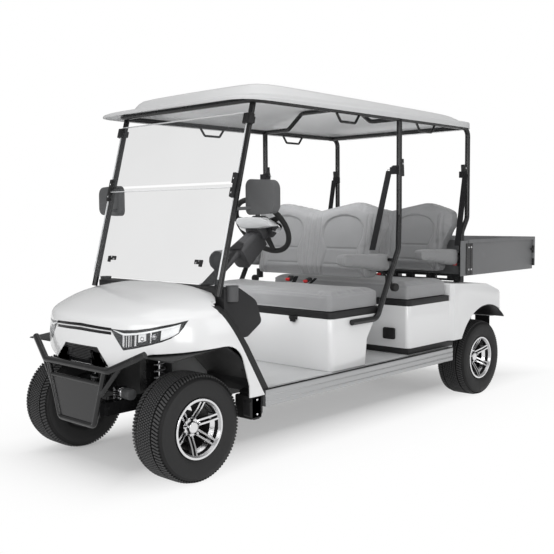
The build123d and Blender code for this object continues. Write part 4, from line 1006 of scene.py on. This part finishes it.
# %% The cushions' dish and the armrests' seam
ROWS_OF_SEATS = ((-0.543, -0.143), (0.202, 0.604))


def cushion_depth(p, n):
    front, rear = ROWS_OF_SEATS[0 if p.y < 0 else 1]
    top = smoothstep(0.5, 0.9, n.z)
    across = abs(abs(p.x) - 0.27) / 0.26
    along = (p.y - front) / (rear - front)
    dish = max(0.0, 1 - across ** 2.5) * max(0.0, 1 - (2 * along - 1.1) ** 2)
    return 0.009 * dish * top + 0.0025 * line(p.z - 0.775, 0.004) * (1 - top)


pressed(cushions, cushion_depth)
pressed(rests, lambda p, n: 0.0018 * line(abs(p.x) - 0.532 + 0.020, 0.0035))

# %% [markdown]
# ## Tyres
# The tyres are a turf pattern: small blocks in rows over the crown, and long slanted lugs over the
# shoulders. The carcass is one turned profile. The blocks are laid by Geometry Nodes: a line of
# points gives each block its number, the number gives its row and its turn round the axle, and the
# whole set is turned about the axle at once. The crown ends at the frame's radius, so the
# carcass under it is smaller by about the height of a block.

# %% Carcass
CARCASS = [(0.083, 0.1275), (0.087, 0.1405), (0.0945, 0.150), (0.0985, 0.156), (0.0992, 0.160),
           (0.1008, 0.166), (0.1025, 0.180), (0.1025, 0.202), (0.1010, 0.214), (0.1000, 0.2155),
           (0.0998, 0.218), (0.0960, 0.2265), (0.0895, 0.2330), (0.078, 0.2375), (0.055, 0.2415),
           (0.028, 0.2422), (0.0, 0.2424)]
whole_carcass = CARCASS + [(-a, r) for a, r in reversed(CARCASS[:-1])]


def lathe(profile, centre, side, steps):
    """Rings of across, radius pairs turned about an axle along X."""
    return [[(centre.x + side * across, centre.y + radius * c, centre.z + radius * s)
             for c, s in circle(steps)] for across, radius in profile]


print("carcass profile points", len(whole_carcass))

# %% The tread as Geometry Nodes
class Build(Wiring):
    """A geometry node group with named inputs."""

    def __init__(self, name, inputs):
        self.tree = bpy.data.node_groups.new(name, "GeometryNodeTree")
        face = self.tree.interface
        face.new_socket("Geometry", in_out="INPUT", socket_type="NodeSocketGeometry")
        self.keys = {label: face.new_socket(label, in_out="INPUT", socket_type=kind).identifier
                     for label, kind in inputs.items()}
        face.new_socket("Geometry", in_out="OUTPUT", socket_type="NodeSocketGeometry")
        self.entry = self.tree.nodes.new("NodeGroupInput")
        self.exit = self.tree.nodes.new("NodeGroupOutput")

    def given(self, label):
        return Signal(self, self.entry.outputs[label])

    def vector(self, x, y, z):
        return self.node("ShaderNodeCombineXYZ", {}, {0: x, 1: y, 2: z})

    def floored(self, value):
        return self.node("ShaderNodeMath", {"operation": "FLOOR"}, {0: value})

    def done(self, *parts):
        """Joins the parts and ends the group."""
        join = self.tree.nodes.new("GeometryNodeJoinGeometry")
        for part in parts:
            self.tree.links.new(part.socket, join.inputs[0])
        real = self.node("GeometryNodeRealizeInstances", {}, {0: Signal(self, join.outputs[0])})
        last = self.node("GeometryNodeSetMaterial", {},
                         {"Geometry": real, "Material": self.given("Material")})
        self.tree.links.new(last.socket, self.exit.inputs[0])


TREAD_INPUTS = {"Material": "NodeSocketMaterial", "Centre": "NodeSocketVector", "Count": "NodeSocketInt",
                "Rows": "NodeSocketInt", "Pitch": "NodeSocketFloat", "Radius": "NodeSocketFloat",
                "Block": "NodeSocketVector", "Long": "NodeSocketVector", "Slant": "NodeSocketFloat"}
tread = Build("tread", TREAD_INPUTS)
print("tread inputs", list(tread.keys))

# %% Blocks round the axle
TAPER = 0.16


def ring_of_blocks(size, count, rows, across, height, tilt, slant):
    """Blocks in rows round the axle; across, height and tilt are sums of the row number."""
    block = tread.node("GeometryNodeMeshCube", {}, {"Size": size})
    place = tread.node("GeometryNodeInputPosition")
    x, y, z = (tread.node("ShaderNodeSeparateXYZ", {}, {0: place}, out=i) for i in range(3))
    top = z > 0.0
    drawn_in = tread.vector(x * top * -TAPER, y * top * -TAPER, 0.0)
    block = tread.node("GeometryNodeSetPosition", {}, {"Geometry": block, "Offset": drawn_in})
    dots = tread.node("GeometryNodeMeshLine", {}, {"Count": count * rows})
    index = tread.node("GeometryNodeInputIndex")
    row = tread.floored((index + 0.5) / count)
    step = index - row * count
    odd = row - tread.floored(row / 2.0 + 0.01) * 2.0
    dots = tread.node("GeometryNodeSetPosition", {},
                      {"Geometry": dots, "Position": tread.vector(across(row), 0.0, height(row))})
    laid = tread.node("GeometryNodeInstanceOnPoints", {},
                      {"Points": dots, "Instance": block,
                       "Rotation": tread.vector(0.0, tilt(row), slant(row))})
    turn = (step + odd * 0.5) * math.tau / count
    laid = tread.node("GeometryNodeRotateInstances", {},
                      {"Instances": laid, "Rotation": tread.vector(turn, 0.0, 0.0), "Local Space": False})
    return tread.node("GeometryNodeTranslateInstances", {},
                      {"Instances": laid, "Translation": tread.given("Centre"), "Local Space": False})


def hand_of(row):
    """-1 for the first row of lugs and 1 for the second."""
    return row * 2.0 - 1.0


count, rows, pitch, radius, slant = (tread.given(k) for k in ("Count", "Rows", "Pitch", "Radius", "Slant"))
middle = (rows - 1.0) / 2.0
two_rows = tread.node("FunctionNodeInputInt", {"integer": 2})
crown = ring_of_blocks(tread.given("Block"), count, rows, lambda row: (row - middle) * pitch,
                       lambda row: radius - 0.0042 - abs(row - middle) * 0.00006,
                       lambda row: 0.0, lambda row: slant * 0.35)
shoulder = ring_of_blocks(tread.given("Long"), count * 0.75, two_rows,
                          lambda row: hand_of(row) * 0.0715, lambda row: radius - 0.0088,
                          lambda row: hand_of(row) * 0.235, lambda row: hand_of(row) * slant * -1.0)
tread.done(Signal(tread, tread.entry.outputs["Geometry"]), crown, shoulder)
print("tread nodes", len(tread.tree.nodes))

# %% Four tyres
TREAD_SIZES = {"Count": 124, "Rows": 7, "Pitch": 0.0136, "Block": (0.0106, 0.0102, 0.0084),
               "Long": (0.0400, 0.0104, 0.0095)}
for name, wheel in WHEELS.items():
    rings = lathe(whole_carcass, wheel["centre"], wheel["side"], 96)
    body = body_of(frame["nodes"][f"tyre_{name}"])[0]
    tyre = made(f"turf_tyre_{name}", *flat_rings(rings, True), f"tyre_rubber_{name}", "tyre", body, 50.0)
    nodes = tyre.modifiers.new("tread", "NODES")
    nodes.node_group = tread.tree
    sizes = {"Material": FINISHES[f"tyre_rubber_{name}"], "Centre": wheel["centre"],
             "Radius": wheel["radius"], "Slant": wheel["side"] * 0.42, **TREAD_SIZES}
    for label, value in sizes.items():
        nodes[tread.keys[label]] = value
    settled(tyre, 40.0)
    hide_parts(f"tyre_{name}")
    print(name, "tyre faces", len(tyre.data.polygons))

# %% [markdown]
# ## Lamps, light strip and grille
# These sit in the cowl's openings and follow its skin, so they are laid out in the front view and
# carried to the skin by the same rule that shaped the cowl. A slab is a block between two depths
# under the skin, and every part of a lamp but its two round projectors is a few slabs. Modelling
# them flat and bending them after would leave their edges off the openings.

# %% Slabs that follow the skin
def skin(x, z, depth):
    """The point of the cowl at x, z in the front view, a depth under its surface."""
    low, high = 0.0, 0.60
    for _ in range(26):
        mid = (low + high) / 2
        low, high = (mid, high) if hood(x, mid) < z else (low, mid)
    step = 0.0015
    rise_x = (hood(x + step, low) - hood(x - step, low)) / (2 * step)
    rise_y = (hood(x, low + step) - hood(x, low - step)) / (2 * step)
    normal = Vector((-rise_x, -rise_y, 1.0)).normalized()
    return Vector((x, NOSE + low, z)) - normal * depth


def slab(space, u0, u1, v0, v1, front, back, along=10, up=2):
    """A closed block over a patch of the front view between two depths."""
    rings = []
    for i in range(along + 1):
        u = u0 + (u1 - u0) * i / along
        edge = [(u, v0 + (v1 - v0) * j / up, front) for j in range(up + 1)]
        edge += [(u, v1 - (v1 - v0) * j / up, back) for j in range(up + 1)]
        rings.append([skin(*space(a, b), depth) for a, b, depth in edge])
    return flat_rings(rings)


def slabs(space, rows):
    return [slab(space, *row) for row in rows]


print("the skin's foremost point at lamp height", [round(v, 4) for v in skin(0.0, 0.69, 0.0)])

# %% Pieces made of several closed forms
def gathered(parts, mirror=False):
    """Several closed forms as one set of points and faces, with their mirror images if asked."""
    verts, faces = [], []
    for points, sides in parts:
        for sign in ((1, -1) if mirror else (1,)):
            base = len(verts)
            verts += [(sign * p[0], p[1], p[2]) for p in points]
            faces += [[base + i for i in side] for side in sides]
    return verts, faces


def fitting(name, parts, finish, slot, body="chassis", mirror=False, round_off=0.0, sharp=40.0):
    """One piece from closed forms, with a small round on its edges if asked."""
    thing = made(name, *gathered(parts, mirror), finish, slot, body, sharp)
    if round_off:
        round_edges(thing, round_off, 2, 40.0)
        settled(thing)
    print(name, "faces", len(thing.data.polygons))
    return thing


def turned(profile, base, direction=(0, 0, 1), steps=24):
    """A closed form turned about an axis, from rows of height and radius."""
    turn = Vector(direction).normalized().to_track_quat("Z", "Y").to_matrix()
    return flat_rings([[Vector(base) + turn @ Vector((r * c, r * s, h)) for c, s in circle(steps)]
                       for h, r in profile])


print("a turned form of three rows has", len(turned([(0, 1), (1, 1), (2, 0.5)], (0, 0, 0))[0]), "points")

# %% The openings as spaces
LAMP_INNER, LAMP_CORNER, LAMP_WIDTH = 0.2155, 0.289, 0.2990
lamp_low = table([(0.215, 0.7025), (0.252, 0.656), (0.289, 0.6095)])
lamp_rest = table([(0.289, 0.6095), (0.348, 0.6215), (0.411, 0.6385), (0.453, 0.653), (0.479, 0.667),
                   (0.5015, 0.689), (0.511, 0.7155), (0.515, 0.745)])
lamp_high = table([(0.215, 0.7035), (0.287, 0.701), (0.348, 0.7045), (0.4018, 0.713), (0.4454, 0.7238),
                   (0.484, 0.7335), (0.515, 0.7455)])


def lamp_space(u, v):
    """x and z of a place in the left lamp: u runs outwards from 0 to 1 and v upwards."""
    x = LAMP_INNER + LAMP_WIDTH * u
    low = lamp_low(x) if x < LAMP_CORNER else lamp_rest(x)
    return x, low + (lamp_high(x) - low) * v


def bar_space(u, v):
    x = 0.2215 * u
    return x, 0.6802 - 0.004 * abs(u) + (0.0335 - 0.003 * abs(u)) * v


def grille_space(u, v):
    return u * (0.203 - 0.073 * v), 0.530 + 0.080 * v


print("lamp middle", [round(v, 3) for v in lamp_space(0.5, 0.5)], "strip", bar_space(0, 0.5))

# %% Lamp finishes
dark_gloss = Finish("lamp_black", (0.007, 0.007, 0.008), 0.2, Specular_IOR_Level=0.25)
dark_gloss.bump(dark_gloss.noise(90.0, 1.0), 0.00005)
light_guide = Finish("lamp_white", (0.86, 0.87, 0.88), 0.18, Coat_Weight=0.5)
light_guide.bump(waves(light_guide.axes()[0], 0.004), 0.00010)
cover = Finish("lamp_cover", (0.75, 0.77, 0.79), 0.03, IOR=1.45)
cover.feed("Alpha", cover.facing(0.3) * 0.18 + 0.03)
print("lamp finishes", ", ".join(list(FINISHES)[-3:]))

# %% Lamp housing, rims and light guides
UNDER_COVER, HOUSING_BACK = 0.0012, 0.026
housing = slabs(lamp_space, ((0.0, 1.0, 0.0, 1.0, 0.024, 0.030, 40),
                             (0.0, 1.0, 0.0, 0.11, UNDER_COVER, HOUSING_BACK, 40),
                             (0.0, 1.0, 0.87, 1.0, UNDER_COVER, HOUSING_BACK, 40),
                             (0.0, 0.05, 0.0, 1.0, UNDER_COVER, HOUSING_BACK, 3),
                             (0.955, 1.0, 0.0, 1.0, UNDER_COVER, HOUSING_BACK, 3),
                             (0.60, 0.64, 0.1, 0.72, 0.008, HOUSING_BACK, 2),
                             (0.73, 0.75, 0.1, 0.72, 0.008, HOUSING_BACK, 2)))
guides = slabs(lamp_space, ((0.030, 0.955, 0.735, 0.84, 0.003, 0.009, 40),
                            (0.77, 0.955, 0.11, 0.80, 0.010, 0.020, 10),
                            (0.47, 0.58, 0.30, 0.80, 0.012, 0.022, 6)))
print("slabs in a housing", len(housing), "and light guides", len(guides))

# %% Reflector bars and projectors
BARS = ((0.225, 0.032), (0.285, 0.012), (0.325, 0.018), (0.365, 0.010), (0.425, 0.026), (0.645, 0.014))
PROJECTOR = ((-0.008, 1.0), (0.004, 1.0), (0.006, 0.86), (0.002, 0.82), (0.003, 0.74), (0.007, 0.60),
             (0.0105, 0.35), (0.012, 0.1))
silver = slabs(lamp_space, ((u, u + w, 0.13, 0.72, 0.005, 0.024, 2) for u, w in BARS))
for place, size in ((0.525, 0.017), (0.69, 0.013)):
    x, z = lamp_space(place, 0.45)
    centre = skin(x, z, 0.018)
    silver.append(turned([(h, r * size) for h, r in PROJECTOR], centre, skin(x, z, 0.0) - centre))
lamps = fitting("headlamp_housings", housing, "lamp_black", "lamp_lens", mirror=True)
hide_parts("headlights")
fitting("headlamp_reflectors", silver, "bright_metal", "lamp_lens", mirror=True)
fitting("headlamp_light_guides", guides, "lamp_white", "lamp_lens", mirror=True)
fitting("headlamp_covers", [slab(lamp_space, 0.0, 1.0, 0.0, 1.0, 0.0003, UNDER_COVER, 30, 4)],
        "lamp_cover", "lamp_lens", mirror=True)

# %% Light strip
strip = fitting("light_strip", slabs(bar_space, ((-1.0, 1.0, 0.0, 1.0, 0.006, 0.020, 32),
                                                 (-1.0, 1.0, 0.0, 0.10, 0.001, 0.010, 32),
                                                 (-1.0, 1.0, 0.90, 1.0, 0.001, 0.010, 32))),
                "lamp_black", "black_plastic")
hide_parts("light_bar")
fitting("light_strip_line", [slab(bar_space, -1.0, 1.0, 0.43, 0.60, 0.001, 0.008, 32)],
        "bright_metal", "black_plastic")

# %% Grille
GRILLE_BARS = 11
bars = [(-1.0, 1.0, 0.0, 1.0, 0.014, 0.020, 12)]
bars += [(-1.0, 1.0, k / GRILLE_BARS + 0.012, k / GRILLE_BARS + 0.055, 0.004, 0.016, 12, 1)
         for k in range(GRILLE_BARS)]
bars += [(-1.0, -0.96, 0.0, 1.0, 0.002, 0.016, 2), (0.96, 1.0, 0.0, 1.0, 0.002, 0.016, 2),
         (-1.0, 1.0, 0.96, 1.0, 0.002, 0.016, 12), (-1.0, 1.0, 0.0, 0.04, 0.002, 0.016, 12)]
grille = fitting("grille_bars", slabs(grille_space, bars), "lamp_black", "black_plastic")
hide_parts("grille_panel")

# %% [markdown]
# ## Small fittings
# Most fittings are one of three forms: a block with a small round on its edges, a turned part on
# any axis, and a bar that follows a path. They could each be an object with modifiers; plain
# points and faces are quicker to gather, so each set of like fittings is one piece.

# %% Blocks, bars and screws
SCREW = ((-0.002, 1.0), (0.35, 1.0), (0.55, 0.8), (0.56, 0.45), (0.3, 0.4), (0.3, 0.05))


def block(centre, size, pitch=0.0, yaw=0.0):
    """A closed box; pitch turns it about X and yaw about Z, in degrees."""
    turn = Matrix.Rotation(math.radians(yaw), 3, "Z") @ Matrix.Rotation(math.radians(pitch), 3, "X")
    verts = [Vector(centre) + turn @ Vector((x * size[0] / 2, y * size[1] / 2, z * size[2] / 2))
             for z in (-1, 1) for x, y in ((-1, -1), (1, -1), (1, 1), (-1, 1))]
    sides = [[i, (i + 1) % 4, 4 + (i + 1) % 4, 4 + i] for i in range(4)]
    return verts, [[3, 2, 1, 0], [4, 5, 6, 7]] + sides


def bar(path, radius, sides=10, closed=False):
    """A round bar along a path of points; its section never twists."""
    points = [Vector(p) for p in path]
    rings, across = [], None
    for i, p in enumerate(points):
        before = points[i - 1] if i or closed else p
        after = points[(i + 1) % len(points)] if i + 1 < len(points) or closed else p
        along = (after - before).normalized()
        if across is None:
            across = along.orthogonal().normalized()
        across = (across - along * across.dot(along)).normalized()
        up = along.cross(across)
        rings.append([p + radius * (across * c + up * s) for c, s in circle(sides)])
    return flat_rings(rings, closed)


def screw(place, direction, size=0.006):
    """A round head with a socket; its first row is sunk a fixed 2 mm under the face."""
    rows = [(SCREW[0][0], size)] + [(h * size, r * size) for h, r in SCREW[1:]]
    return turned(rows, place, direction, 12)


print("a screw has", len(screw((0, 0, 0), (0, 0, 1))[0]), "points")

# %% [markdown]
# ## Windscreen fittings
# The screen is a clear sheet held to its two posts: a clamp at each top corner, a hinge half way
# where the upper half folds, and two thumb clips near its foot. Its polished edges catch the
# light, and that highlight is painted on as thin white bars, which show at any distance, which a
# bevel on the sheet would not.

# %% Places on the screen
PANE_LEAN, PANE_RUN = -15.1, 0.2704
PANE_FOOT_Y, PANE_FOOT_Z = -1.2928, 0.888


def on_pane(x, z, ahead):
    """A point at x and a height, a distance ahead of the screen's front face."""
    return x, PANE_FOOT_Y + (z - PANE_FOOT_Z) * PANE_RUN - ahead, z


def leaning(x, z, ahead, size):
    return block(on_pane(x, z, ahead), size, PANE_LEAN)


print("the screen's face at shoulder height", round(on_pane(0.0, 1.3, 0.0)[1], 4))

# %% Windscreen
# painted highlight: thin white bars along the screen's sides, top and hinge line stand in for light on its
# edges
fitting("pane_edge_highlights", [leaning(0.4965, 1.30, 0.001, (0.0030, 0.0075, 0.80))],
        "lamp_white", "clear_glazing", mirror=True)
fitting("pane_edge_highlights_across", [leaning(0.0, 1.698, 0.0, (0.988, 0.0075, 0.0040)),
                              leaning(0.0, 1.342, 0.001, (0.988, 0.0080, 0.0030))],
        "lamp_white", "clear_glazing")
fitting("pane_clamps", [leaning(0.497, 1.668, -0.004, (0.050, 0.030, 0.052)),
                        leaning(0.497, 1.668, -0.010, (0.030, 0.052, 0.034)),
                        leaning(0.489, 1.385, 0.004, (0.022, 0.022, 0.052)),
                        leaning(0.489, 1.318, 0.004, (0.022, 0.022, 0.046)),
                        leaning(0.495, 1.351, 0.006, (0.018, 0.014, 0.120))],
        "black_plastic", "black_plastic", mirror=True, round_off=0.003)
fitting("pane_clip_tabs", [leaning(0.345, 0.990, 0.005, (0.058, 0.007, 0.022))],
        "black_plastic", "black_plastic", mirror=True, round_off=0.003)
fitting("pane_catches", [leaning(0.366, 0.984, 0.010, (0.016, 0.012, 0.032))],
        "black_plastic", "black_plastic", mirror=True, round_off=0.002)
fitting("pane_screws", [screw(on_pane(x, z, ahead), (0, -1, 0.27), 0.0045)
                        for x, z, ahead in ((0.352, 0.996, 0.009), (0.330, 0.986, 0.009),
                                            (0.489, 1.385, 0.014), (0.489, 1.318, 0.014),
                                            (0.497, 1.668, 0.012))],
        "bright_metal", "clear_glazing", mirror=True)

# %% [markdown]
# ## Dash and steering
# A dark cup stands in each dash shelf. The steering wheel has a bright plate let into each side
# spoke and a dark pad over its hub, which turn with it. They are laid out flat, in the wheel's
# own plane, and tilted as one, because the rim leans 36 degrees from upright. The display and
# the collar sit on the column, which stands still.

# %% Cups
CUP = [(0.0, 0.026), (0.002, 0.029), (0.070, 0.030), (0.0735, 0.0315), (0.0745, 0.0300), (0.070, 0.0275),
       (0.010, 0.026), (0.010, 0.001)]
fitting("cup_holders", [turned(CUP, (0.505, -1.205, 0.806))], "mirror_shell", "black_plastic", mirror=True)

# %% Wheel trim and hub
STEER_CENTRE = Vector((0.280, -0.769, 1.155))
STEER_TILT = math.radians(36.0)
STEER_UP = Vector((0.0, math.cos(STEER_TILT), math.sin(STEER_TILT)))
STEER_BODY = body_of(frame["nodes"]["steering_wheel"])[0]
ACROSS_WHEEL = Vector((-1, 0, 0))
wheel_plane = Matrix((ACROSS_WHEEL, STEER_UP.cross(ACROSS_WHEEL), STEER_UP)).transposed()


def plate(rows, low, high):
    """An outline in the wheel's plane, pulled along its axle."""
    verts, faces = prism(rows, "Z", low, high)
    return [STEER_CENTRE + wheel_plane @ Vector(p) for p in verts], faces


inserts = [plate([(s * 0.072, -0.012, 0.006), (s * 0.116, -0.030, 0.012), (s * 0.150, -0.004, 0.016),
                  (s * 0.140, 0.034, 0.014), (s * 0.110, 0.022, 0.010)], -0.024, -0.004) for s in (-1, 1)]
fitting("wheel_inserts", inserts, "bright_metal", "black_plastic", STEER_BODY, round_off=0.002)
hub = [plate([(-0.060, -0.066, 0.024), (0.060, -0.066, 0.024), (0.092, 0.006, 0.026),
              (0.046, 0.058, 0.024), (-0.046, 0.058, 0.024), (-0.092, 0.006, 0.026)], -0.018, 0.014)]
fitting("wheel_hub_pad", hub, "dash_plastic", "black_plastic", STEER_BODY, round_off=0.005)

# %% Display and collar on the column
DISPLAY = [(0.171, 1.173, 0), (0.186, 1.196, 0), (0.246, 1.201, 0), (0.348, 1.198, 0), (0.397, 1.18, 0),
           (0.432, 1.155, 0), (0.39, 1.152, 0), (0.333, 1.143, 0), (0.215, 1.142, 0)]
COLLAR = [(-0.075, 0.040), (-0.072, 0.056), (-0.050, 0.064), (-0.034, 0.062), (-0.030, 0.045)]
fitting("column_display", [prism(DISPLAY, "Y", -0.862, -0.800)], "pod_silver", "black_plastic",
        round_off=0.006)
fitting("column_collar", [turned(COLLAR, STEER_CENTRE, STEER_UP, 32)], "dash_plastic", "black_plastic",
        round_off=0.002)

# %% [markdown]
# ## Belts
# The straps are in the frame. Here each post gets the belt's upper guide with its loop and bolt,
# the retractor's round housing low on the front row's post, and the buckles with red buttons that
# lie between and beside the seats. They are blocks and turned parts, as the real ones are
# mouldings with small rounds.

# %% Belt guides and loops
guides = [block((0.536, 0.121, 1.478), (0.030, 0.026, 0.100), 4),
          block((0.519, 0.100, 1.474), (0.052, 0.018, 0.034), 20),
          turned([(0.0, 0.020), (0.004, 0.024), (0.030, 0.024), (0.036, 0.018)],
                 (0.545, 0.028, 0.792), (1, -0.2, 0)),
          block((0.520, 0.026, 0.830), (0.024, 0.040, 0.060)),
          block((0.5285, 0.832, 1.484), (0.030, 0.024, 0.080), 4)]
fitting("belt_guides", guides, "black_plastic", "black_plastic", mirror=True, round_off=0.003)
LOOP = [(0.468, 0.086, 1.468), (0.514, 0.086, 1.468), (0.514, 0.080, 1.444), (0.468, 0.080, 1.444)]
fitting("belt_loops", [bar(LOOP, 0.0022, 8, True), screw((0.5505, 0.121, 1.500), (1, 0, 0)),
                       screw((0.543, 0.832, 1.500), (1, 0, 0)),
                       screw((0.5545, 0.026, 0.792), (1, -0.2, 0), 0.005)],
        "bright_metal", "black_steel", mirror=True)

# %% Buckles
BUCKLES = ((-0.125, -0.110, 0.820, 20), (0.018, -0.110, 0.815, -15), (-0.125, 0.635, 0.820, 20),
           (0.018, 0.635, 0.815, -15), (0.500, 0.800, 0.892, 35), (-0.500, 0.800, 0.892, -35))
fitting("buckles", [block((x, y, z), (0.034, 0.048, 0.018), 22, yaw) for x, y, z, yaw in BUCKLES],
        "black_plastic", "black_webbing", round_off=0.003)
fitting("buckle_buttons", [block((x, y - 0.022, z - 0.004), (0.026, 0.018, 0.015), 22, yaw)
                           for x, y, z, yaw in BUCKLES], "red_lens", "black_webbing", round_off=0.002)
fitting("buckle_stalks", [block((x, y + 0.045, z - 0.010), (0.024, 0.060, 0.006), 35, yaw)
                          for x, y, z, yaw in BUCKLES], "black_webbing", "black_webbing", round_off=0.001)

# %% [markdown]
# ## Front suspension and steering gear
# A coil spring is a bar along a helix; a stack of rings would be quicker, but its coils would not
# climb. The damper inside it is turned: a painted body below, a polished rod above. The power
# steering is a bright casting with a dark motor bolted to its side, and a dark panel closes the
# bay just behind the axle line.

# %% Dampers
low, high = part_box("coil_overs")
AXIS_X, AXIS_Y = (high.x + 0.233) / 2, (low.y + high.y) / 2
TOP, FOOT = high.z, low.z
ON_AXIS = (AXIS_X, AXIS_Y, 0)
SUSPENSION_BODY = body_of(frame["nodes"]["coil_overs"])[0]
damper = [turned([(FOOT, 0.010), (FOOT, 0.016), (FOOT + 0.020, 0.018), (FOOT + 0.060, 0.0215),
                  (FOOT + 0.190, 0.0215), (FOOT + 0.195, 0.012), (FOOT + 0.200, 0.008)], ON_AXIS)]
for z in (FOOT + 0.092, TOP - 0.024):
    damper.append(turned([(z, 0.012), (z, 0.0285), (z + 0.006, 0.0285), (z + 0.007, 0.014)], ON_AXIS))
dampers = fitting("dampers", damper, "black_steel", "black_steel", SUSPENSION_BODY, mirror=True)
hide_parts("coil_overs")
fitting("damper_rods", [turned([(FOOT + 0.190, 0.0075), (TOP, 0.0075), (TOP, 0.004)], ON_AXIS, steps=16)],
        "bright_metal", "black_steel", SUSPENSION_BODY, mirror=True)

# %% Springs
COIL_RADIUS, WIRE_RADIUS, COILS, COIL_STEPS = 0.0245, 0.0042, 7.5, 240
helix = []
for k in range(COIL_STEPS + 1):
    turn = math.tau * COILS * k / COIL_STEPS
    helix.append((AXIS_X + COIL_RADIUS * math.cos(turn), AXIS_Y + COIL_RADIUS * math.sin(turn),
                  FOOT + 0.102 + (TOP - FOOT - 0.130) * k / COIL_STEPS))
fitting("coil_springs", [bar(helix, WIRE_RADIUS, 8)], "plain_steel", "black_steel", SUSPENSION_BODY,
        mirror=True)

# %% Bay panel
fitting("bay_panel", [block((0.0, -1.405, 0.455), (0.590, 0.004, 0.290)),
                      block((0.0, -1.400, 0.575), (0.500, 0.010, 0.012)),
                      block((0.0, -1.400, 0.420), (0.500, 0.010, 0.012))],
        "black_plastic", "black_plastic", round_off=0.001)

# %% Steering gear
low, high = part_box("steering_gear")
GEAR_BODY = body_of(frame["nodes"]["steering_gear"])[0]


def on_gear(dx, dy, dz):
    """A place measured from the steering gear's lowest right front corner."""
    return low.x + dx, low.y + dy, low.z + dz


casting = [block((low.x + 0.0235, low.y + 0.027, (low.z + high.z) / 2),
                 (0.047, 0.054, high.z - low.z - 0.001)),
           turned([(0.0, 0.012), (0.0, 0.0255), (0.006, 0.0265), (0.010, 0.024), (0.012, 0.012)],
                  on_gear(0.044, 0.030, 0.030), (1, 0, 0))]
casting += [block((low.x + 0.0235, low.y + 0.0005, low.z + 0.012 + 0.010 * k), (0.044, 0.006, 0.003))
            for k in range(4)]
gear = fitting("gear_casting", casting, "bright_metal", "black_steel", GEAR_BODY, round_off=0.0025)
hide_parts("steering_gear")
fitting("gear_motor", [turned([(0.0, 0.018), (0.0, 0.0262), (0.006, 0.0268), (0.040, 0.0268),
                               (0.050, 0.0250), (0.0525, 0.012)], on_gear(0.054, 0.030, 0.0295), (1, 0, 0))],
        "mirror_shell", "black_steel", GEAR_BODY)
fitting("gear_bolts", [screw(on_gear(dx, -0.001, dz), (0, -1, 0), 0.0045)
                       for dx in (0.008, 0.039) for dz in (0.010, 0.046)],
        "plain_steel", "black_steel", GEAR_BODY)

# %% [markdown]
# ## Bed, seat and body details
# Bolted straps hold the bed's corners, over-centre latches hold its tailgate, and a small catch
# holds the seat. A dark strip runs along the top of each sill, where the floor mat ends. Rubber
# blocks stand at the cowl's foot, and five nuts hold each wheel. Most are placed from the box of
# the part they sit on, so they follow it if it changes.

# %% Bed latches and screws
low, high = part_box("bed_straps")
fitting("bed_screws", [screw((high.x - 0.0005, y, z), (1, 0, 0), 0.0065)
                       for y in (0.835, 0.866) for z in (0.995, 0.852)],
        "bright_metal", "black_steel", mirror=True)
low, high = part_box("cargo_bed")
latches = [block((high.x - 0.004, high.y - 0.022, 0.952), (0.012, 0.022, 0.052)),
           block((high.x - 0.003, high.y - 0.034, 0.953), (0.008, 0.044, 0.014)),
           block((high.x - 0.004, high.y - 0.020, 0.860), (0.012, 0.020, 0.050))]
fitting("bed_latches", latches, "black_plastic", "black_steel", mirror=True, round_off=0.002)

# %% Sill strips, seat catches and guards
low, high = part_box("side_sills")
sill_strip = block((high.x - 0.0035, (low.y + high.y) / 2, high.z + 0.0012),
                   (0.009, high.y - low.y - 0.004, 0.0050))
fitting("sill_strips", [sill_strip], "black_rubber", "sill_aluminium", mirror=True, round_off=0.001)
low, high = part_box("front_seat_base")
fitting("seat_catches", [block((0.300, low.y - 0.004, 0.652), (0.056, 0.012, 0.016)),
                         block((0.300, low.y - 0.008, 0.642), (0.036, 0.010, 0.022))],
        "black_plastic", "black_plastic", round_off=0.002)
fitting("guard_blocks", [block((0.5215, -1.1225, 0.298), (0.113, 0.074, 0.112)),
                         block((0.5215, -1.112, 0.362), (0.100, 0.050, 0.030), 20)],
        "black_rubber", "black_plastic", mirror=True, round_off=0.008)
fitting("guard_screws", [screw((0.5785, -1.120, z), (1, 0, 0), 0.0055) for z in (0.335, 0.265)],
        "bright_metal", "black_plastic", mirror=True)

# %% Lug nuts
NUTS, NUT_CIRCLE = 5, 0.0365
NUT = [(0.0, 0.0095), (0.004, 0.0080), (0.016, 0.0078), (0.020, 0.0055), (0.021, 0.002)]
for name, wheel in WHEELS.items():
    c, side = wheel["centre"], wheel["side"]
    body = body_of(frame["nodes"][f"rim_{name}"])[0]
    nuts = [turned(NUT, (c.x + side * 0.034, c.y + NUT_CIRCLE * cosine, c.z + NUT_CIRCLE * sine),
                   (side, 0, 0), 6) for cosine, sine in circle(NUTS, 0.25)]
    fitting(f"lug_nuts_{name}", nuts, "bright_metal", "alloy", body, sharp=30.0)

# %% [markdown]
# ## Instrument pod
# A small egg-shaped pod on a short stalk. It could be a cut block; turning it is simpler: a profile
# swept round an upright axis gives the stalk and the pod in one piece, and pressing it flatter from
# front to back keeps it inside the plain pod's box.

# %% Instrument pod
low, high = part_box("instrument_pod")
middle = (low + high) / 2
wide, deep, tall = (high - low) / 2
POD = [(0.0, 0.30), (0.06, 0.34), (0.42, 0.26), (0.86, 0.26), (0.98, 0.45), (1.14, 0.80), (1.38, 0.97),
       (1.62, 0.94), (1.82, 0.72), (1.94, 0.42), (1.99, 0.12)]
rings = [[Vector((middle.x + wide * r * c, middle.y + deep * r * s, low.z + tall * h))
          for c, s in circle(32)] for h, r in POD]
pod = fitting("pod_shell", [flat_rings(rings)], "dash_plastic", SLOT_OF["instrument_pod"])
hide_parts("instrument_pod")

# %% [markdown]
